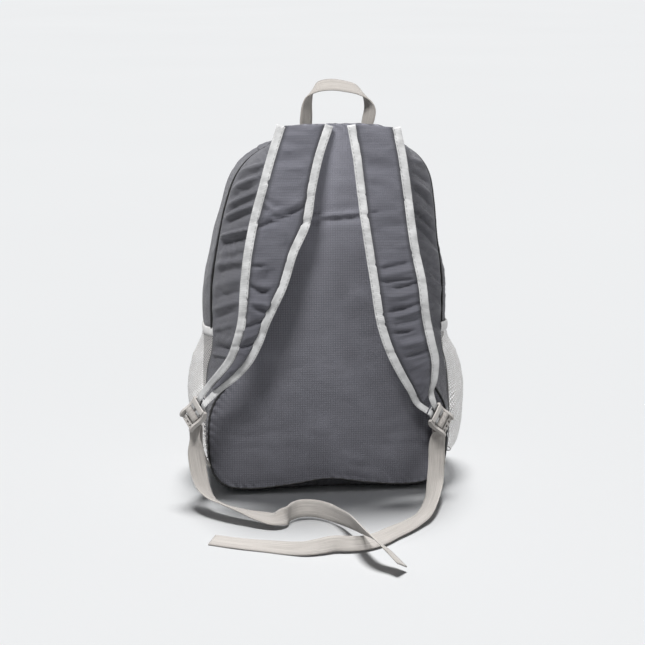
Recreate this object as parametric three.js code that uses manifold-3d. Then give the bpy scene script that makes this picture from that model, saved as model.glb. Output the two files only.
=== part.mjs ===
import * as THREE from 'three';
import Module from 'manifold-3d';
import { mergeVertices } from 'three/addons/utils/BufferGeometryUtils.js';

const wasm = await Module();
wasm.setup();

// Packable backpack, standing upright. Millimetres, +Z up, the back panel and its straps face -Y.
// Left and right are as seen by someone who looks at the back panel, so right is +X.

// Driving dimensions of the bag
const bagHeight = 445;
const bagWidth = 300;
const bagDepth = 150;
const topLean = 8;
const backSkew = 5;
const frontRound = 24;
const frontRoundDepth = 36;
const backBulge = 8;
const frontBulge = 9;

// Cloth, seams and trims
const clothWall = 1.6;
const seamGap = 0.35;
const pipingRadius = 1.2;
const zipWidth = 6;
const zipSeat = 51;

// Mesh side pockets
const pocketBulges = { left: 18, right: 23 };
const pocketMouth = 8;
const meshWall = 1.2;
const hemWidth = 11;
const hemWall = 1.7;

// Shoulder straps
const strapThickness = 7;
const strapLift = 38;
const strapEndTaper = 0.22;
const trimWidth = 10;
const trimThickness = 2.2;
const trimTabLength = 9;
const trimSeat = 0.4;

// Ladder-lock buckles and the webbing in them
const buckleLength = 33;
const buckleSlot = 21.4;
const cheekWidth = 2.9;
const cheekThickness = 5.4;
const cheekWave = 1.7;
const barDepth = 3;
const webbingWidth = 20;
const webbingThickness = 1.5;
const tailDepth = 6.3;

// Carry handle
const handleRise = 55;
const handleSpan = 70;
const handleSetBack = 15;

// Zip slider
const sliderLength = 11;
const sliderWidth = 8;
const sliderThickness = 3;
const pullLength = 24;
const pullWidth = 6;
const pullThickness = 1.6;

const halfWidth = bagWidth / 2;

// Each row is one place on the right half of the bag's outlines, from the bottom centre up and over to
// the top centre, and the left half mirrors it. back is the seam of the back panel and crown the widest
// line. X is a share of half the width, Z of the height, depth of the depth there, and turn the share of
// the depth at which the cloth reaches the crown.
const outlineRows = [
  { backX: 0, backZ: 0.036, crownX: 0, crownZ: 0, depth: 0.93, turn: 0.16 },
  { backX: 0.3, backZ: 0.023, crownX: 0.3, crownZ: 0, depth: 0.94, turn: 0.16 },
  { backX: 0.59, backZ: 0.014, crownX: 0.59, crownZ: 0, depth: 0.96, turn: 0.16 },
  { backX: 0.78, backZ: 0.02, crownX: 0.79, crownZ: 0, depth: 0.98, turn: 0.2 },
  { backX: 0.885, backZ: 0.042, crownX: 0.925, crownZ: 0.026, depth: 1, turn: 0.35 },
  { backX: 0.945, backZ: 0.09, crownX: 0.985, crownZ: 0.078, depth: 1, turn: 0.5 },
  { backX: 0.953, backZ: 0.2, crownX: 0.998, crownZ: 0.2, depth: 1, turn: 0.54 },
  { backX: 0.9, backZ: 0.262, crownX: 1, crownZ: 0.262, depth: 1, turn: 0.54 },
  { backX: 0.78, backZ: 0.315, crownX: 0.998, crownZ: 0.315, depth: 1, turn: 0.54 },
  { backX: 0.68, backZ: 0.375, crownX: 0.985, crownZ: 0.375, depth: 1, turn: 0.54 },
  { backX: 0.625, backZ: 0.45, crownX: 0.992, crownZ: 0.45, depth: 1, turn: 0.54 },
  { backX: 0.585, backZ: 0.56, crownX: 0.975, crownZ: 0.555, depth: 0.99, turn: 0.5 },
  { backX: 0.56, backZ: 0.68, crownX: 0.895, crownZ: 0.675, depth: 0.95, turn: 0.44 },
  { backX: 0.54, backZ: 0.79, crownX: 0.838, crownZ: 0.775, depth: 0.88, turn: 0.42 },
  { backX: 0.515, backZ: 0.885, crownX: 0.765, crownZ: 0.855, depth: 0.82, turn: 0.42 },
  { backX: 0.46, backZ: 0.955, crownX: 0.625, crownZ: 0.908, depth: 0.78, turn: 0.44 },
  { backX: 0.35, backZ: 0.99, crownX: 0.4, crownZ: 0.935, depth: 0.76, turn: 0.48 },
  { backX: 0, backZ: 0.996, crownX: 0, crownZ: 0.942, depth: 0.75, turn: 0.5 },
];

// Rows where one panel ends and the next begins, and how many facets a row gets
const lastRow = outlineRows.length - 1;
const cornerRow = 3.5;
const hemRow = 9.55;
const shoulderRow = 15.2;
const pipingRow = 14;
const panelCornerRow = 4;
const panelShoulderRow = 15.5;

// Creases in the side panels. height is a share of the height, slope the climb towards the front,
// push and spread are in shares of the fold size.
const foldSize = 12;
const sideFolds = [
  { side: -1, height: 0.815, slope: -0.35, push: -0.2, spread: 0.7 },
  { side: -1, height: 0.735, slope: -0.4, push: -0.22, spread: 0.8 },
  { side: -1, height: 0.66, slope: -0.3, push: -0.45, spread: 1.1 },
  { side: -1, height: 0.47, slope: -0.1, push: -0.3, spread: 1.5 },
  { side: -1, height: 0.335, slope: 0.2, push: -0.22, spread: 0.6 },
  { side: 1, height: 0.74, slope: -0.9, push: -0.25, spread: 0.9 },
  { side: 1, height: 0.655, slope: -0.9, push: -0.4, spread: 1 },
  { side: 1, height: 0.52, slope: -0.6, push: -0.3, spread: 1.2 },
  { side: 1, height: 0.42, slope: -0.4, push: -0.25, spread: 1 },
];

// Creases across the back panel. width is how far they reach to each side.
const backFolds = [
  { centre: 0.02, height: 0.75, width: 0.5, push: 0.28, spread: 0.8 },
  { centre: -0.45, height: 0.4, width: 0.2, push: 0.3, spread: 2.2 },
  { centre: 0.6, height: 0.2, width: 0.12, push: 0.3, spread: 1.8 },
];

// How far the mesh pocket stands off the bag from its bottom to its hem
const pocketRows = [
  { height: 0, stand: 0.3 },
  { height: 0.06, stand: 0.62 },
  { height: 0.15, stand: 0.84 },
  { height: 0.3, stand: 0.97 },
  { height: 0.42, stand: 1 },
  { height: 0.6, stand: 0.88 },
  { height: 0.75, stand: 0.66 },
  { height: 0.87, stand: 0.37 },
  { height: 0.95, stand: 0.13 },
  { height: 1, stand: 0.03 },
];
const pocketLowBack = 5.1;
const pocketLowFront = 4.5;
const pocketBackShare = 0.05;
const pocketHemShare = 0.313;

// Each row is a cut across a shoulder strap, from the top seam down. outer and inner are the middles of
// the two trims: X is a share of half the width, Z of the height, and lift of the strap's lift.
const strapRows = {
  left: [
    { outerX: -0.4, outerZ: 0.993, innerX: -0.033, innerZ: 0.993, lift: 0.1 },
    { outerX: -0.478, outerZ: 0.917, innerX: -0.113, innerZ: 0.917, lift: 0.26 },
    { outerX: -0.55, outerZ: 0.836, innerX: -0.173, innerZ: 0.836, lift: 0.43 },
    { outerX: -0.62, outerZ: 0.755, innerX: -0.222, innerZ: 0.746, lift: 0.6 },
    { outerX: -0.672, outerZ: 0.674, innerX: -0.327, innerZ: 0.67, lift: 0.76 },
    { outerX: -0.705, outerZ: 0.589, innerX: -0.407, innerZ: 0.589, lift: 0.9 },
    { outerX: -0.727, outerZ: 0.5, innerX: -0.54, innerZ: 0.495, lift: 0.98 },
    { outerX: -0.765, outerZ: 0.447, innerX: -0.607, innerZ: 0.436, lift: 0.98 },
    { outerX: -0.82, outerZ: 0.397, innerX: -0.693, innerZ: 0.382, lift: 0.93 },
    { outerX: -0.918, outerZ: 0.353, innerX: -0.805, innerZ: 0.341, lift: 0.87 },
    { outerX: -0.995, outerZ: 0.321, innerX: -0.91, innerZ: 0.312, lift: 0.83 },
  ],
  right: [
    { outerX: 0.487, outerZ: 0.985, innerX: 0.137, innerZ: 0.993, lift: 0.1 },
    { outerX: 0.527, outerZ: 0.912, innerX: 0.177, innerZ: 0.912, lift: 0.28 },
    { outerX: 0.557, outerZ: 0.835, innerX: 0.2, innerZ: 0.84, lift: 0.43 },
    { outerX: 0.583, outerZ: 0.757, innerX: 0.228, innerZ: 0.757, lift: 0.6 },
    { outerX: 0.617, outerZ: 0.672, innerX: 0.262, innerZ: 0.674, lift: 0.75 },
    { outerX: 0.668, outerZ: 0.589, innerX: 0.297, innerZ: 0.594, lift: 0.9 },
    { outerX: 0.7, outerZ: 0.499, innerX: 0.347, innerZ: 0.486, lift: 0.99 },
    { outerX: 0.74, outerZ: 0.436, innerX: 0.418, innerZ: 0.411, lift: 0.98 },
    { outerX: 0.78, outerZ: 0.38, innerX: 0.508, innerZ: 0.348, lift: 0.92 },
    { outerX: 0.778, outerZ: 0.325, innerX: 0.595, innerZ: 0.296, lift: 0.82 },
    { outerX: 0.758, outerZ: 0.29, innerX: 0.655, innerZ: 0.257, lift: 0.76 },
  ],
};

// Where each buckle sits and how it is turned. across runs from its inner to its outer cheek.
const bucklePlaces = {
  left: { x: -1.106, y: -0.69, z: 0.244, across: [-11.2, 18.9, 15.7], down: [-16.3, 10.9, -24.7] },
  right: { x: 0.845, y: -0.64, z: 0.208, across: [13.2, 14.3, 18.7], down: [20.7, 12.9, -24.5] },
};

// Where the lower webbing is sewn to the seam of the bottom corner, and the middle of its way up
const anchorPlaces = {
  left: { x: -0.94, y: -0.0265, z: 0.075, middleX: -1.047, middleY: -0.047, middleZ: 0.153 },
  right: { x: 0.9, y: -0.0265, z: 0.075, middleX: 0.873, middleY: -0.047, middleZ: 0.135 },
};

// Where each tail starts, behind the lower end of its buckle, and the way its width runs there
const tailStarts = {
  left: { startAcross: -6, startDown: 12, across: [0.64, -0.76, 0] },
  right: { startAcross: -8, startDown: 12, across: [0.76, 0.64, 0] },
};

// The free tails. Each row is a point on the middle of the webbing and the way its width runs.
const tailRoutes = {
  left: [
    { at: [-165.3, -23, 84], across: [0.55, -0.84, 0] },
    { at: [-165, -25, 75], across: [0.62, -0.78, 0] },
    { at: [-164.5, -28, 65], across: [0.92, -0.38, 0] },
    { at: [-163.3, -33, 53], across: [1, 0, 0] },
    { at: [-161, -41, 39], across: [0.97, 0.2, -0.1] },
    { at: [-157, -53, 27], across: [0.85, 0.5, -0.2] },
    { at: [-149, -67, 19], across: [0.55, 0.75, -0.35] },
    { at: [-135, -82, 16], across: [0.4, 0.82, -0.38] },
    { at: [-119, -95, 14], across: [0.25, 0.93, -0.2] },
    { at: [-106, -104, 12], across: [0.1, 0.98, 0] },
    { at: [-93, -114, 11], across: [0.05, 0.95, 0.2] },
    { at: [-79, -121, 10], across: [0.1, 0.88, 0.42] },
    { at: [-68, -117, 11], across: [0.3, 0.68, 0.63] },
    { at: [-58, -104, 12.5], across: [0.25, 0.42, 0.85] },
    { at: [-46, -96, 13], across: [0.05, 0.35, 0.9] },
    { at: [-31, -97, 12.5], across: [0, 0.3, 0.95] },
    { at: [-17, -108, 12], across: [0, 0.3, 0.95] },
    { at: [-6, -126, 12.5], across: [-0.15, 0.22, 0.95] },
    { at: [3, -157, 17], across: [-0.3, 0.2, 0.93] },
    { at: [8, -191, 23], across: [-0.32, 0.2, 0.92] },
    { at: [12, -217, 27], across: [-0.32, 0.22, 0.92] },
    { at: [17, -238, 28], across: [-0.36, 0.25, 0.9] },
    { at: [25, -253, 24], across: [-0.42, 0.28, 0.86] },
    { at: [34, -263, 17], across: [-0.5, 0.3, 0.82] },
    { at: [43, -277, 10], across: [-0.55, 0.35, 0.78] },
  ],
  right: [
    { at: [124.8, -19, 69], across: [0.95, 0.3, 0] },
    { at: [123.5, -20, 58], across: [1, 0.05, 0] },
    { at: [122.8, -24, 46], across: [1, 0, 0] },
    { at: [122, -32, 34], across: [1, 0, 0] },
    { at: [120.5, -46, 23], across: [1, -0.05, 0] },
    { at: [117, -70, 15], across: [0.96, -0.2, -0.02] },
    { at: [109, -98, 10], across: [0.87, -0.45, -0.05] },
    { at: [97, -119, 7], across: [0.8, -0.6, -0.08] },
    { at: [83, -134, 6], across: [0.74, -0.66, -0.12] },
    { at: [68, -149, 6], across: [0.7, -0.7, -0.2] },
    { at: [50, -168, 6.5], across: [0.6, -0.72, -0.32] },
    { at: [32, -188, 7], across: [0.42, -0.8, -0.4] },
    { at: [14, -200, 7.5], across: [0.2, -0.85, -0.5] },
    { at: [-3, -204, 8.5], across: [0, -0.8, -0.6] },
    { at: [-20, -203, 9], across: [0, -0.78, -0.62] },
    { at: [-36, -207, 8], across: [-0.1, -0.8, -0.58] },
    { at: [-53, -208, 6.5], across: [-0.1, -0.86, -0.48] },
    { at: [-69, -202, 5], across: [0.1, -0.92, -0.35] },
    { at: [-92, -191, 4], across: [0.2, -0.94, -0.26] },
    { at: [-122, -178, 3.5], across: [0.25, -0.95, -0.18] },
    { at: [-152, -162, 3], across: [0.3, -0.94, -0.15] },
  ],
};

// The handle's middle line and the way its width runs
const handleRows = [
  { x: -0.5, rise: 0, across: [0.75, 0.66, -0.42] },
  { x: -0.49, rise: 0.3, across: [0.75, 0.66, 0] },
  { x: -0.475, rise: 0.58, across: [0.62, 0.75, 0.1] },
  { x: -0.425, rise: 0.79, across: [0.45, 0.8, 0.3] },
  { x: -0.31, rise: 0.92, across: [0.15, 0.84, 0.5] },
  { x: -0.1, rise: 0.97, across: [0, 0.82, 0.57] },
  { x: 0.13, rise: 0.94, across: [0, 0.82, 0.57] },
  { x: 0.36, rise: 0.86, across: [-0.1, 0.84, 0.5] },
  { x: 0.51, rise: 0.7, across: [-0.35, 0.85, 0.3] },
  { x: 0.57, rise: 0.48, across: [-0.52, 0.82, 0.1] },
  { x: 0.545, rise: 0.25, across: [-0.61, 0.79, 0] },
  { x: 0.5, rise: 0, across: [-0.61, 0.79, -0.5] },
];

function smoothStep(low, high, value) {
  const t = THREE.MathUtils.clamp((value - low) / (high - low), 0, 1);
  return t * t * (3 - 2 * t);
}

function cubic(before, from, to, after, t) {
  const a = -before + 3 * from - 3 * to + after;
  const b = 2 * before - 5 * from + 4 * to - after;
  return 0.5 * (2 * from + (to - before) * t + b * t * t + a * t * t * t);
}

// A column of the outline table at any row, with the left half at negative rows
function outline(name, row) {
  const odd = name.endsWith('X') ? -1 : 1;
  const place = Math.min(Math.abs(row), lastRow);
  const index = Math.min(Math.floor(place), lastRow - 1);
  const at = (k) => {
    if (k < 0) return odd * outlineRows[-k][name];
    if (k > lastRow) return odd * outlineRows[2 * lastRow - k][name];
    return outlineRows[k][name];
  };
  const value = cubic(at(index - 1), at(index), at(index + 1), at(index + 2), place - index);
  return row < 0 ? odd * value : value;
}

function crownLine(row) {
  return new THREE.Vector2(outline('crownX', row) * halfWidth, outline('crownZ', row) * bagHeight);
}

// A point on the outside of the bag. share runs from the back seam, 0, to the front seam, 1.
function bagPoint(row, share) {
  const depth = bagDepth * outline('depth', row);
  const turn = outline('turn', row);
  const rise = share < turn ? Math.sin((Math.PI / 2) * (share / turn)) : 1;
  const crown = crownLine(row);
  const back = new THREE.Vector2(outline('backX', row) * halfWidth, outline('backZ', row) * bagHeight);
  const point = back.lerp(crown, rise);
  const step = 0.02;
  const along = crownLine(row + step).sub(crownLine(row - step)).normalize();
  const roundShare = frontRoundDepth / depth;
  const fall = Math.max(0, (share - 1 + roundShare) / roundShare);
  const inset = frontRound * (1 - Math.cos((Math.PI / 2) * fall));
  point.x += -along.y * inset;
  point.y += along.x * inset;
  const lean = topLean * smoothStep(0.65, 1, point.y / bagHeight);
  return new THREE.Vector3(point.x + lean - backSkew * (1 - rise), depth * share, Math.max(0, point.y));
}

// The way the rows run there
function alongRows(row, share) {
  const step = 0.02;
  const after = bagPoint(Math.min(lastRow, row + step), share);
  return after.sub(bagPoint(Math.max(-lastRow, row - step), share)).normalize();
}

// Into the panel that the outline at that share encloses
function inwardOf(row, share) {
  const along = alongRows(row, share);
  return new THREE.Vector3(-along.z, 0, along.x).normalize();
}

function bagNormal(row, share) {
  const step = 0.01;
  const low = Math.max(0, share - step);
  const high = Math.min(1, share + step);
  const along = alongRows(row, share);
  const across = bagPoint(row, high).sub(bagPoint(row, low));
  return along.cross(across).normalize().negate();
}

// How many rows a length covers there
function rowsFor(length, row) {
  const step = 0.05;
  const crown = crownLine(row + step).distanceTo(crownLine(row - step));
  const back = bagPoint(row + step, 0).distanceTo(bagPoint(row - step, 0));
  return (length * 2 * step) / Math.min(crown, back);
}

function sideCrease(point) {
  let push = 0;
  for (const fold of sideFolds) {
    if (Math.sign(point.x) !== fold.side) continue;
    const height = fold.height * bagHeight + fold.slope * (point.y - zipSeat / 2);
    const away = (point.z - height) / (fold.spread * foldSize);
    push += fold.push * foldSize * Math.exp(-away * away);
  }
  return push;
}

// A closed solid from a surface of (u, v), both 0 to 1, that answers its outer and inner points
function sheetGeometry(columns, rows, surface) {
  const outer = [];
  const inner = [];
  for (let j = 0; j <= rows; j += 1) {
    for (let i = 0; i <= columns; i += 1) {
      const { outside, inside } = surface(i / columns, j / rows);
      outer.push(outside);
      inner.push(inside);
    }
  }
  const points = [...outer, ...inner];
  const count = outer.length;
  const faces = [];
  const quad = (a, b, c, d) => faces.push(a, b, c, a, c, d);
  const at = (i, j) => j * (columns + 1) + i;
  for (let j = 0; j < rows; j += 1) {
    for (let i = 0; i < columns; i += 1) {
      quad(at(i, j), at(i + 1, j), at(i + 1, j + 1), at(i, j + 1));
      quad(count + at(i, j + 1), count + at(i + 1, j + 1), count + at(i + 1, j), count + at(i, j));
    }
  }
  for (let i = 0; i < columns; i += 1) {
    quad(at(i, 0), count + at(i, 0), count + at(i + 1, 0), at(i + 1, 0));
    quad(at(i + 1, rows), count + at(i + 1, rows), count + at(i, rows), at(i, rows));
  }
  for (let j = 0; j < rows; j += 1) {
    quad(at(0, j + 1), count + at(0, j + 1), count + at(0, j), at(0, j));
    quad(at(columns, j), count + at(columns, j), count + at(columns, j + 1), at(columns, j + 1));
  }
  return facetGeometry(points, faces);
}

// Geometry from points and faces, turned so that the faces point outwards
function facetGeometry(points, faces) {
  let volume = 0;
  for (let k = 0; k < faces.length; k += 3) {
    const [a, b, c] = [points[faces[k]], points[faces[k + 1]], points[faces[k + 2]]];
    volume += a.dot(b.clone().cross(c));
  }
  if (volume < 0) faces.reverse();
  const geometry = new THREE.BufferGeometry().setFromPoints(points);
  geometry.setIndex(faces);
  geometry.computeVertexNormals();
  return geometry;
}

// A strip of the bag's cloth between two rows and two shares of the depth
function bagStrip(columns, rows, fromRow, toRow, lowShare, highShare, dressed = true) {
  return sheetGeometry(columns, rows, (u, v) => {
    const row = THREE.MathUtils.lerp(fromRow, toRow, u);
    const share = THREE.MathUtils.lerp(lowShare(row), highShare(row), v);
    const normal = bagNormal(row, share);
    const outside = bagPoint(row, share);
    const edge = Math.min(1, 4 * v, 4 * (1 - v) + 0.4);
    if (dressed) outside.addScaledVector(normal, sideCrease(outside) * edge);
    return { outside, inside: outside.clone().addScaledVector(normal, -clothWall) };
  });
}

function zipEdge(row, side) {
  const depth = bagDepth * outline('depth', row);
  const closed = smoothStep(hemRow - 0.15, hemRow + 0.15, Math.abs(row));
  const half = THREE.MathUtils.lerp(seamGap / 2, zipWidth / 2, closed);
  return (zipSeat * outline('depth', row) + side * half) / depth;
}

// A panel inside a closed outline, as a patch between four edges of it
function outlinePatch(columns, rows, edge, fill) {
  const corner = panelCornerRow;
  const shoulder = panelShoulderRow;
  const lerp = THREE.MathUtils.lerp;
  return sheetGeometry(columns, rows, (u, v) => {
    const bottom = edge(lerp(-corner, corner, u));
    const topRow = lerp(-(lastRow - shoulder), lastRow - shoulder, u);
    const top = edge(topRow < 0 ? -(lastRow + topRow) : lastRow - topRow);
    const left = edge(-lerp(corner, shoulder, v));
    const right = edge(lerp(corner, shoulder, v));
    const corners = [edge(-corner), edge(corner), edge(-shoulder), edge(shoulder)];
    const ruled = bottom.clone().multiplyScalar(1 - v).addScaledVector(top, v);
    ruled.addScaledVector(left, 1 - u).addScaledVector(right, u);
    ruled.addScaledVector(corners[0], -(1 - u) * (1 - v)).addScaledVector(corners[1], -u * (1 - v));
    ruled.addScaledVector(corners[2], -(1 - u) * v).addScaledVector(corners[3], -u * v);
    return fill(ruled, u, v);
  });
}

// The seam of a panel, drawn in by the cloth of the strip around it
function seamEdge(row, share) {
  const normal = bagNormal(row, share);
  const thick = clothWall * (1.1 + (share < 0.5 ? Math.max(0, normal.y) : 0));
  return bagPoint(row, share).addScaledVector(inwardOf(row, share), thick / Math.hypot(normal.x, normal.z) + seamGap);
}

function backPanelGeometry() {
  return outlinePatch(12, 16, (row) => seamEdge(row, 0), (point, u, v) => {
    const swell = 4 * u * (1 - u) * Math.sin(Math.PI * Math.min(1, 1.25 * v + 0.02));
    let push = -backBulge * Math.max(0, swell);
    for (const fold of backFolds) {
      const away = (point.z - fold.height * bagHeight) / (fold.spread * foldSize);
      const aside = (point.x - fold.centre * halfWidth) / (fold.width * halfWidth);
      push += fold.push * foldSize * Math.exp(-away * away - aside * aside) * 4 * u * (1 - u);
    }
    const outside = point.clone().setY(point.y + push);
    return { outside, inside: outside.clone().setY(outside.y + clothWall) };
  });
}

function frontPanelGeometry() {
  return outlinePatch(10, 12, (row) => seamEdge(row, 1), (point, u, v) => {
    const swell = frontBulge * 4 * u * (1 - u) * Math.sin(Math.PI * v);
    const outside = point.clone().setY(point.y + swell);
    return { outside, inside: outside.clone().setY(outside.y - clothWall) };
  });
}

function pipingGeometry() {
  const points = [];
  for (let row = -pipingRow; row <= pipingRow + 0.001; row += 0.5) {
    const away = pipingRadius + seamGap;
    points.push(bagPoint(row, 0).addScaledVector(inwardOf(row, 0), 0.3 * away).setY(-1.05 * away));
  }
  const section = new THREE.Shape().absarc(0, 0, pipingRadius, 0, 2 * Math.PI);
  const extrudePath = new THREE.CatmullRomCurve3(points);
  return new THREE.ExtrudeGeometry(section, { extrudePath, steps: 52, curveSegments: 3 });
}

function pocketStand(side, v) {
  const next = Math.max(1, pocketRows.findIndex((row) => row.height >= v));
  const [low, high] = [pocketRows[next - 1], pocketRows[next]];
  const t = THREE.MathUtils.clamp((v - low.height) / (high.height - low.height), 0, 1);
  return pocketBulges[side < 0 ? 'left' : 'right'] * THREE.MathUtils.lerp(low.stand, high.stand, t);
}

// The pocket wraps the front part of a side, from its back edge (u 0) to the front seam (u 1)
function pocketPoint(side, u, v, extra) {
  const lerp = THREE.MathUtils.lerp;
  const row = side * lerp(lerp(pocketLowBack, pocketLowFront, u), hemRow, v);
  const backShare = lerp(pocketBackShare, pocketHemShare, smoothStep(-0.15, 0.75, v));
  const share = lerp(backShare, 1 - seamGap / bagDepth, u);
  const body = pocketStand(side, v) * Math.sin(Math.PI * u) ** 0.6;
  const mouth = pocketMouth * Math.exp(-(((u - 0.84) / 0.1) ** 2)) * smoothStep(0.55, 1, v);
  const away = seamGap + extra + body + mouth;
  const normal = bagNormal(row, share);
  return { point: bagPoint(row, share).addScaledVector(normal, away), normal };
}

function pocketGeometry(side) {
  return sheetGeometry(11, 11, (u, v) => {
    const { point, normal } = pocketPoint(side, u, v, 0);
    return { outside: point.clone().addScaledVector(normal, meshWall), inside: point };
  });
}

function hemGeometry(side) {
  return sheetGeometry(14, 1, (u, v) => {
    const { point, normal } = pocketPoint(side, u, 1, 0);
    point.z += seamGap + hemWidth * v;
    return { outside: point.clone().addScaledVector(normal, hemWall), inside: point };
  });
}

// A band of cloth or webbing along a line. Each station has its middle, the way its width runs, its
// width and its thickness, and outline lists the corners of its section in halves of the two.
const flatSection = [[-1, -1], [1, -1], [1, 1], [-1, 1]];
const paddedSection = [[-1, -0.5], [0, -0.75], [1, -0.5], [1, 0.25], [0.55, 0.85], [0, 1], [-0.55, 0.85], [-1, 0.25]];

function bandGeometry(stations, section, sheared = false) {
  const points = [];
  stations.forEach((station, k) => {
    const before = stations[Math.max(0, k - 1)].at;
    const after = stations[Math.min(stations.length - 1, k + 1)].at;
    const along = after.clone().sub(before).normalize();
    const across = station.across.clone();
    if (!sheared) across.addScaledVector(along, -across.dot(along)).normalize();
    const facing = along.clone().cross(across).normalize();
    for (const [wide, thick] of section) {
      const corner = station.at.clone().addScaledVector(across, (wide * station.width) / 2);
      points.push(corner.addScaledVector(facing, (thick * station.thickness) / 2));
    }
  });
  const sides = section.length;
  const faces = [];
  for (let k = 0; k < stations.length - 1; k += 1) {
    for (let i = 0; i < sides; i += 1) {
      const [a, b] = [k * sides + i, k * sides + ((i + 1) % sides)];
      faces.push(a, b, b + sides, a, b + sides, a + sides);
    }
  }
  const last = (stations.length - 1) * sides;
  for (let i = 1; i < sides - 1; i += 1) {
    faces.push(0, i + 1, i, last, last + i, last + i + 1);
  }
  return facetGeometry(points, faces);
}

// More stations between the given ones, on smooth curves
function smoothStations(rows, steps) {
  const middle = new THREE.CatmullRomCurve3(rows.map((row) => row.at), false, 'centripetal');
  const ways = new THREE.CatmullRomCurve3(rows.map((row) => row.across));
  const stations = [];
  for (let k = 0; k <= steps; k += 1) {
    const t = k / steps;
    const place = t * (rows.length - 1);
    const index = Math.min(Math.floor(place), rows.length - 2);
    const between = (name) => THREE.MathUtils.lerp(rows[index][name], rows[index + 1][name], place - index);
    const across = ways.getPoint(t).normalize();
    stations.push({ at: middle.getPoint(t), across, width: between('width'), thickness: between('thickness') });
  }
  return stations;
}

// A buckle's own axes: x runs across, from its inner to its outer cheek, y down it and z out of its face
function buckleFrame(sideName) {
  const place = bucklePlaces[sideName];
  const x = new THREE.Vector3(...place.across).normalize();
  const down = new THREE.Vector3(...place.down);
  const y = down.addScaledVector(x, -down.dot(x)).normalize();
  const z = x.clone().cross(y);
  const origin = new THREE.Vector3(place.x * halfWidth, place.y * strapLift, place.z * bagHeight);
  const facing = z.y < 0 ? z : z.negate();
  return { x, y, z: facing, origin };
}

function onBuckle(frame, x, y, z) {
  const point = frame.origin.clone().addScaledVector(frame.x, x);
  return point.addScaledVector(frame.y, y).addScaledVector(frame.z, z);
}

const topBar = { y: -buckleLength / 2 + 2.9, length: 5, depth: 4 };
const middleBar = { y: -1, length: 3.2, depth: 3.2 };
const lowerBar = { y: buckleLength / 2 - 2.6, length: 4.4, depth: barDepth };

function solidFrom(geometry) {
  geometry.deleteAttribute('normal');
  geometry.deleteAttribute('uv');
  const merged = mergeVertices(geometry, 1e-4);
  const vertProperties = new Float32Array(merged.attributes.position.array);
  const triVerts = new Uint32Array(merged.index.array);
  return new wasm.Manifold(new wasm.Mesh({ numProp: 3, vertProperties, triVerts }));
}

function geometryFrom(solid) {
  const mesh = solid.getMesh();
  const geometry = new THREE.BufferGeometry();
  geometry.setAttribute('position', new THREE.BufferAttribute(new Float32Array(mesh.vertProperties), 3));
  geometry.setIndex(new THREE.BufferAttribute(new Uint32Array(mesh.triVerts), 1));
  geometry.computeVertexNormals();
  return geometry;
}

// A waved cheek: its side view is drawn in the y and z of the buckle and has the cheek's width in x
function cheekGeometry(fromX) {
  const steps = 12;
  const edge = (sign) => Array.from({ length: steps + 1 }, (_, k) => {
    const t = k / steps;
    const wave = -cheekWave * Math.sin(2 * Math.PI * (t - 0.08));
    const half = (cheekThickness / 2) * Math.sin(Math.PI * (0.12 + 0.76 * t)) ** 0.5;
    return new THREE.Vector2((t - 0.5) * buckleLength, wave + sign * half);
  });
  const shape = new THREE.Shape([...edge(-1), ...edge(1).reverse()]);
  const geometry = new THREE.ExtrudeGeometry(shape, { depth: cheekWidth, bevelEnabled: false });
  return turnedToBuckle(geometry, fromX);
}

// Turns an extrusion so that its drawing lies in y and z and its depth runs along x
function turnedToBuckle(geometry, fromX) {
  const turn = new THREE.Matrix4().makeBasis(
    new THREE.Vector3(0, 1, 0), new THREE.Vector3(0, 0, 1), new THREE.Vector3(1, 0, 0));
  return geometry.applyMatrix4(turn).translate(fromX, 0, 0);
}

function barGeometry(bar) {
  const sink = 0.8;
  const shape = new THREE.Shape().absellipse(bar.y, 0, bar.length / 2, bar.depth / 2, 0, 2 * Math.PI);
  const geometry = new THREE.ExtrudeGeometry(shape, {
    depth: buckleSlot + 2 * sink, bevelEnabled: false, curveSegments: 5,
  });
  return turnedToBuckle(geometry, -buckleSlot / 2 - sink);
}

function buckleGeometry(sideName) {
  const solids = [cheekGeometry(-buckleSlot / 2 - cheekWidth), cheekGeometry(buckleSlot / 2)].map(solidFrom);
  for (const bar of [topBar, middleBar, lowerBar]) solids.push(solidFrom(barGeometry(bar)));
  const whole = solids.reduce((sum, solid) => sum.add(solid));
  const frame = buckleFrame(sideName);
  const place = new THREE.Matrix4().makeBasis(frame.x, frame.y, frame.z).setPosition(frame.origin);
  const geometry = geometryFrom(whole);
  if (place.determinant() < 0) flipFaces(geometry);
  return geometry.applyMatrix4(place);
}

function flipFaces(geometry) {
  const index = geometry.index.array;
  for (let k = 0; k < index.length; k += 3) [index[k], index[k + 1]] = [index[k + 1], index[k]];
}

// The middle of one trim on one row of a strap
function trimPoint(row, edge) {
  const lift = strapLift * row.lift;
  return new THREE.Vector3(row[`${edge}X`] * halfWidth, -lift, row[`${edge}Z`] * bagHeight);
}

function strapGeometry(sideName) {
  const rows = strapRows[sideName].map((row) => {
    const outer = trimPoint(row, 'outer');
    const inner = trimPoint(row, 'inner');
    return { at: outer.clone().lerp(inner, 0.5), across: inner.clone().sub(outer), thickness: strapThickness };
  });
  rows.forEach((row, k) => {
    const along = rows[Math.min(k + 1, rows.length - 1)].at.clone().sub(rows[Math.max(k - 1, 0)].at).normalize();
    const slant = row.across.clone().cross(along).length() / row.across.length();
    row.width = row.across.length() - (trimWidth + 2 * seamGap) / slant - 2 * trimSeat;
    row.width *= 1 - strapEndTaper * smoothStep(0.6, 1, k / (rows.length - 1));
    row.across.normalize();
  });
  return bandGeometry(smoothStations(rows, 22), paddedSection, true);
}

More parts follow.
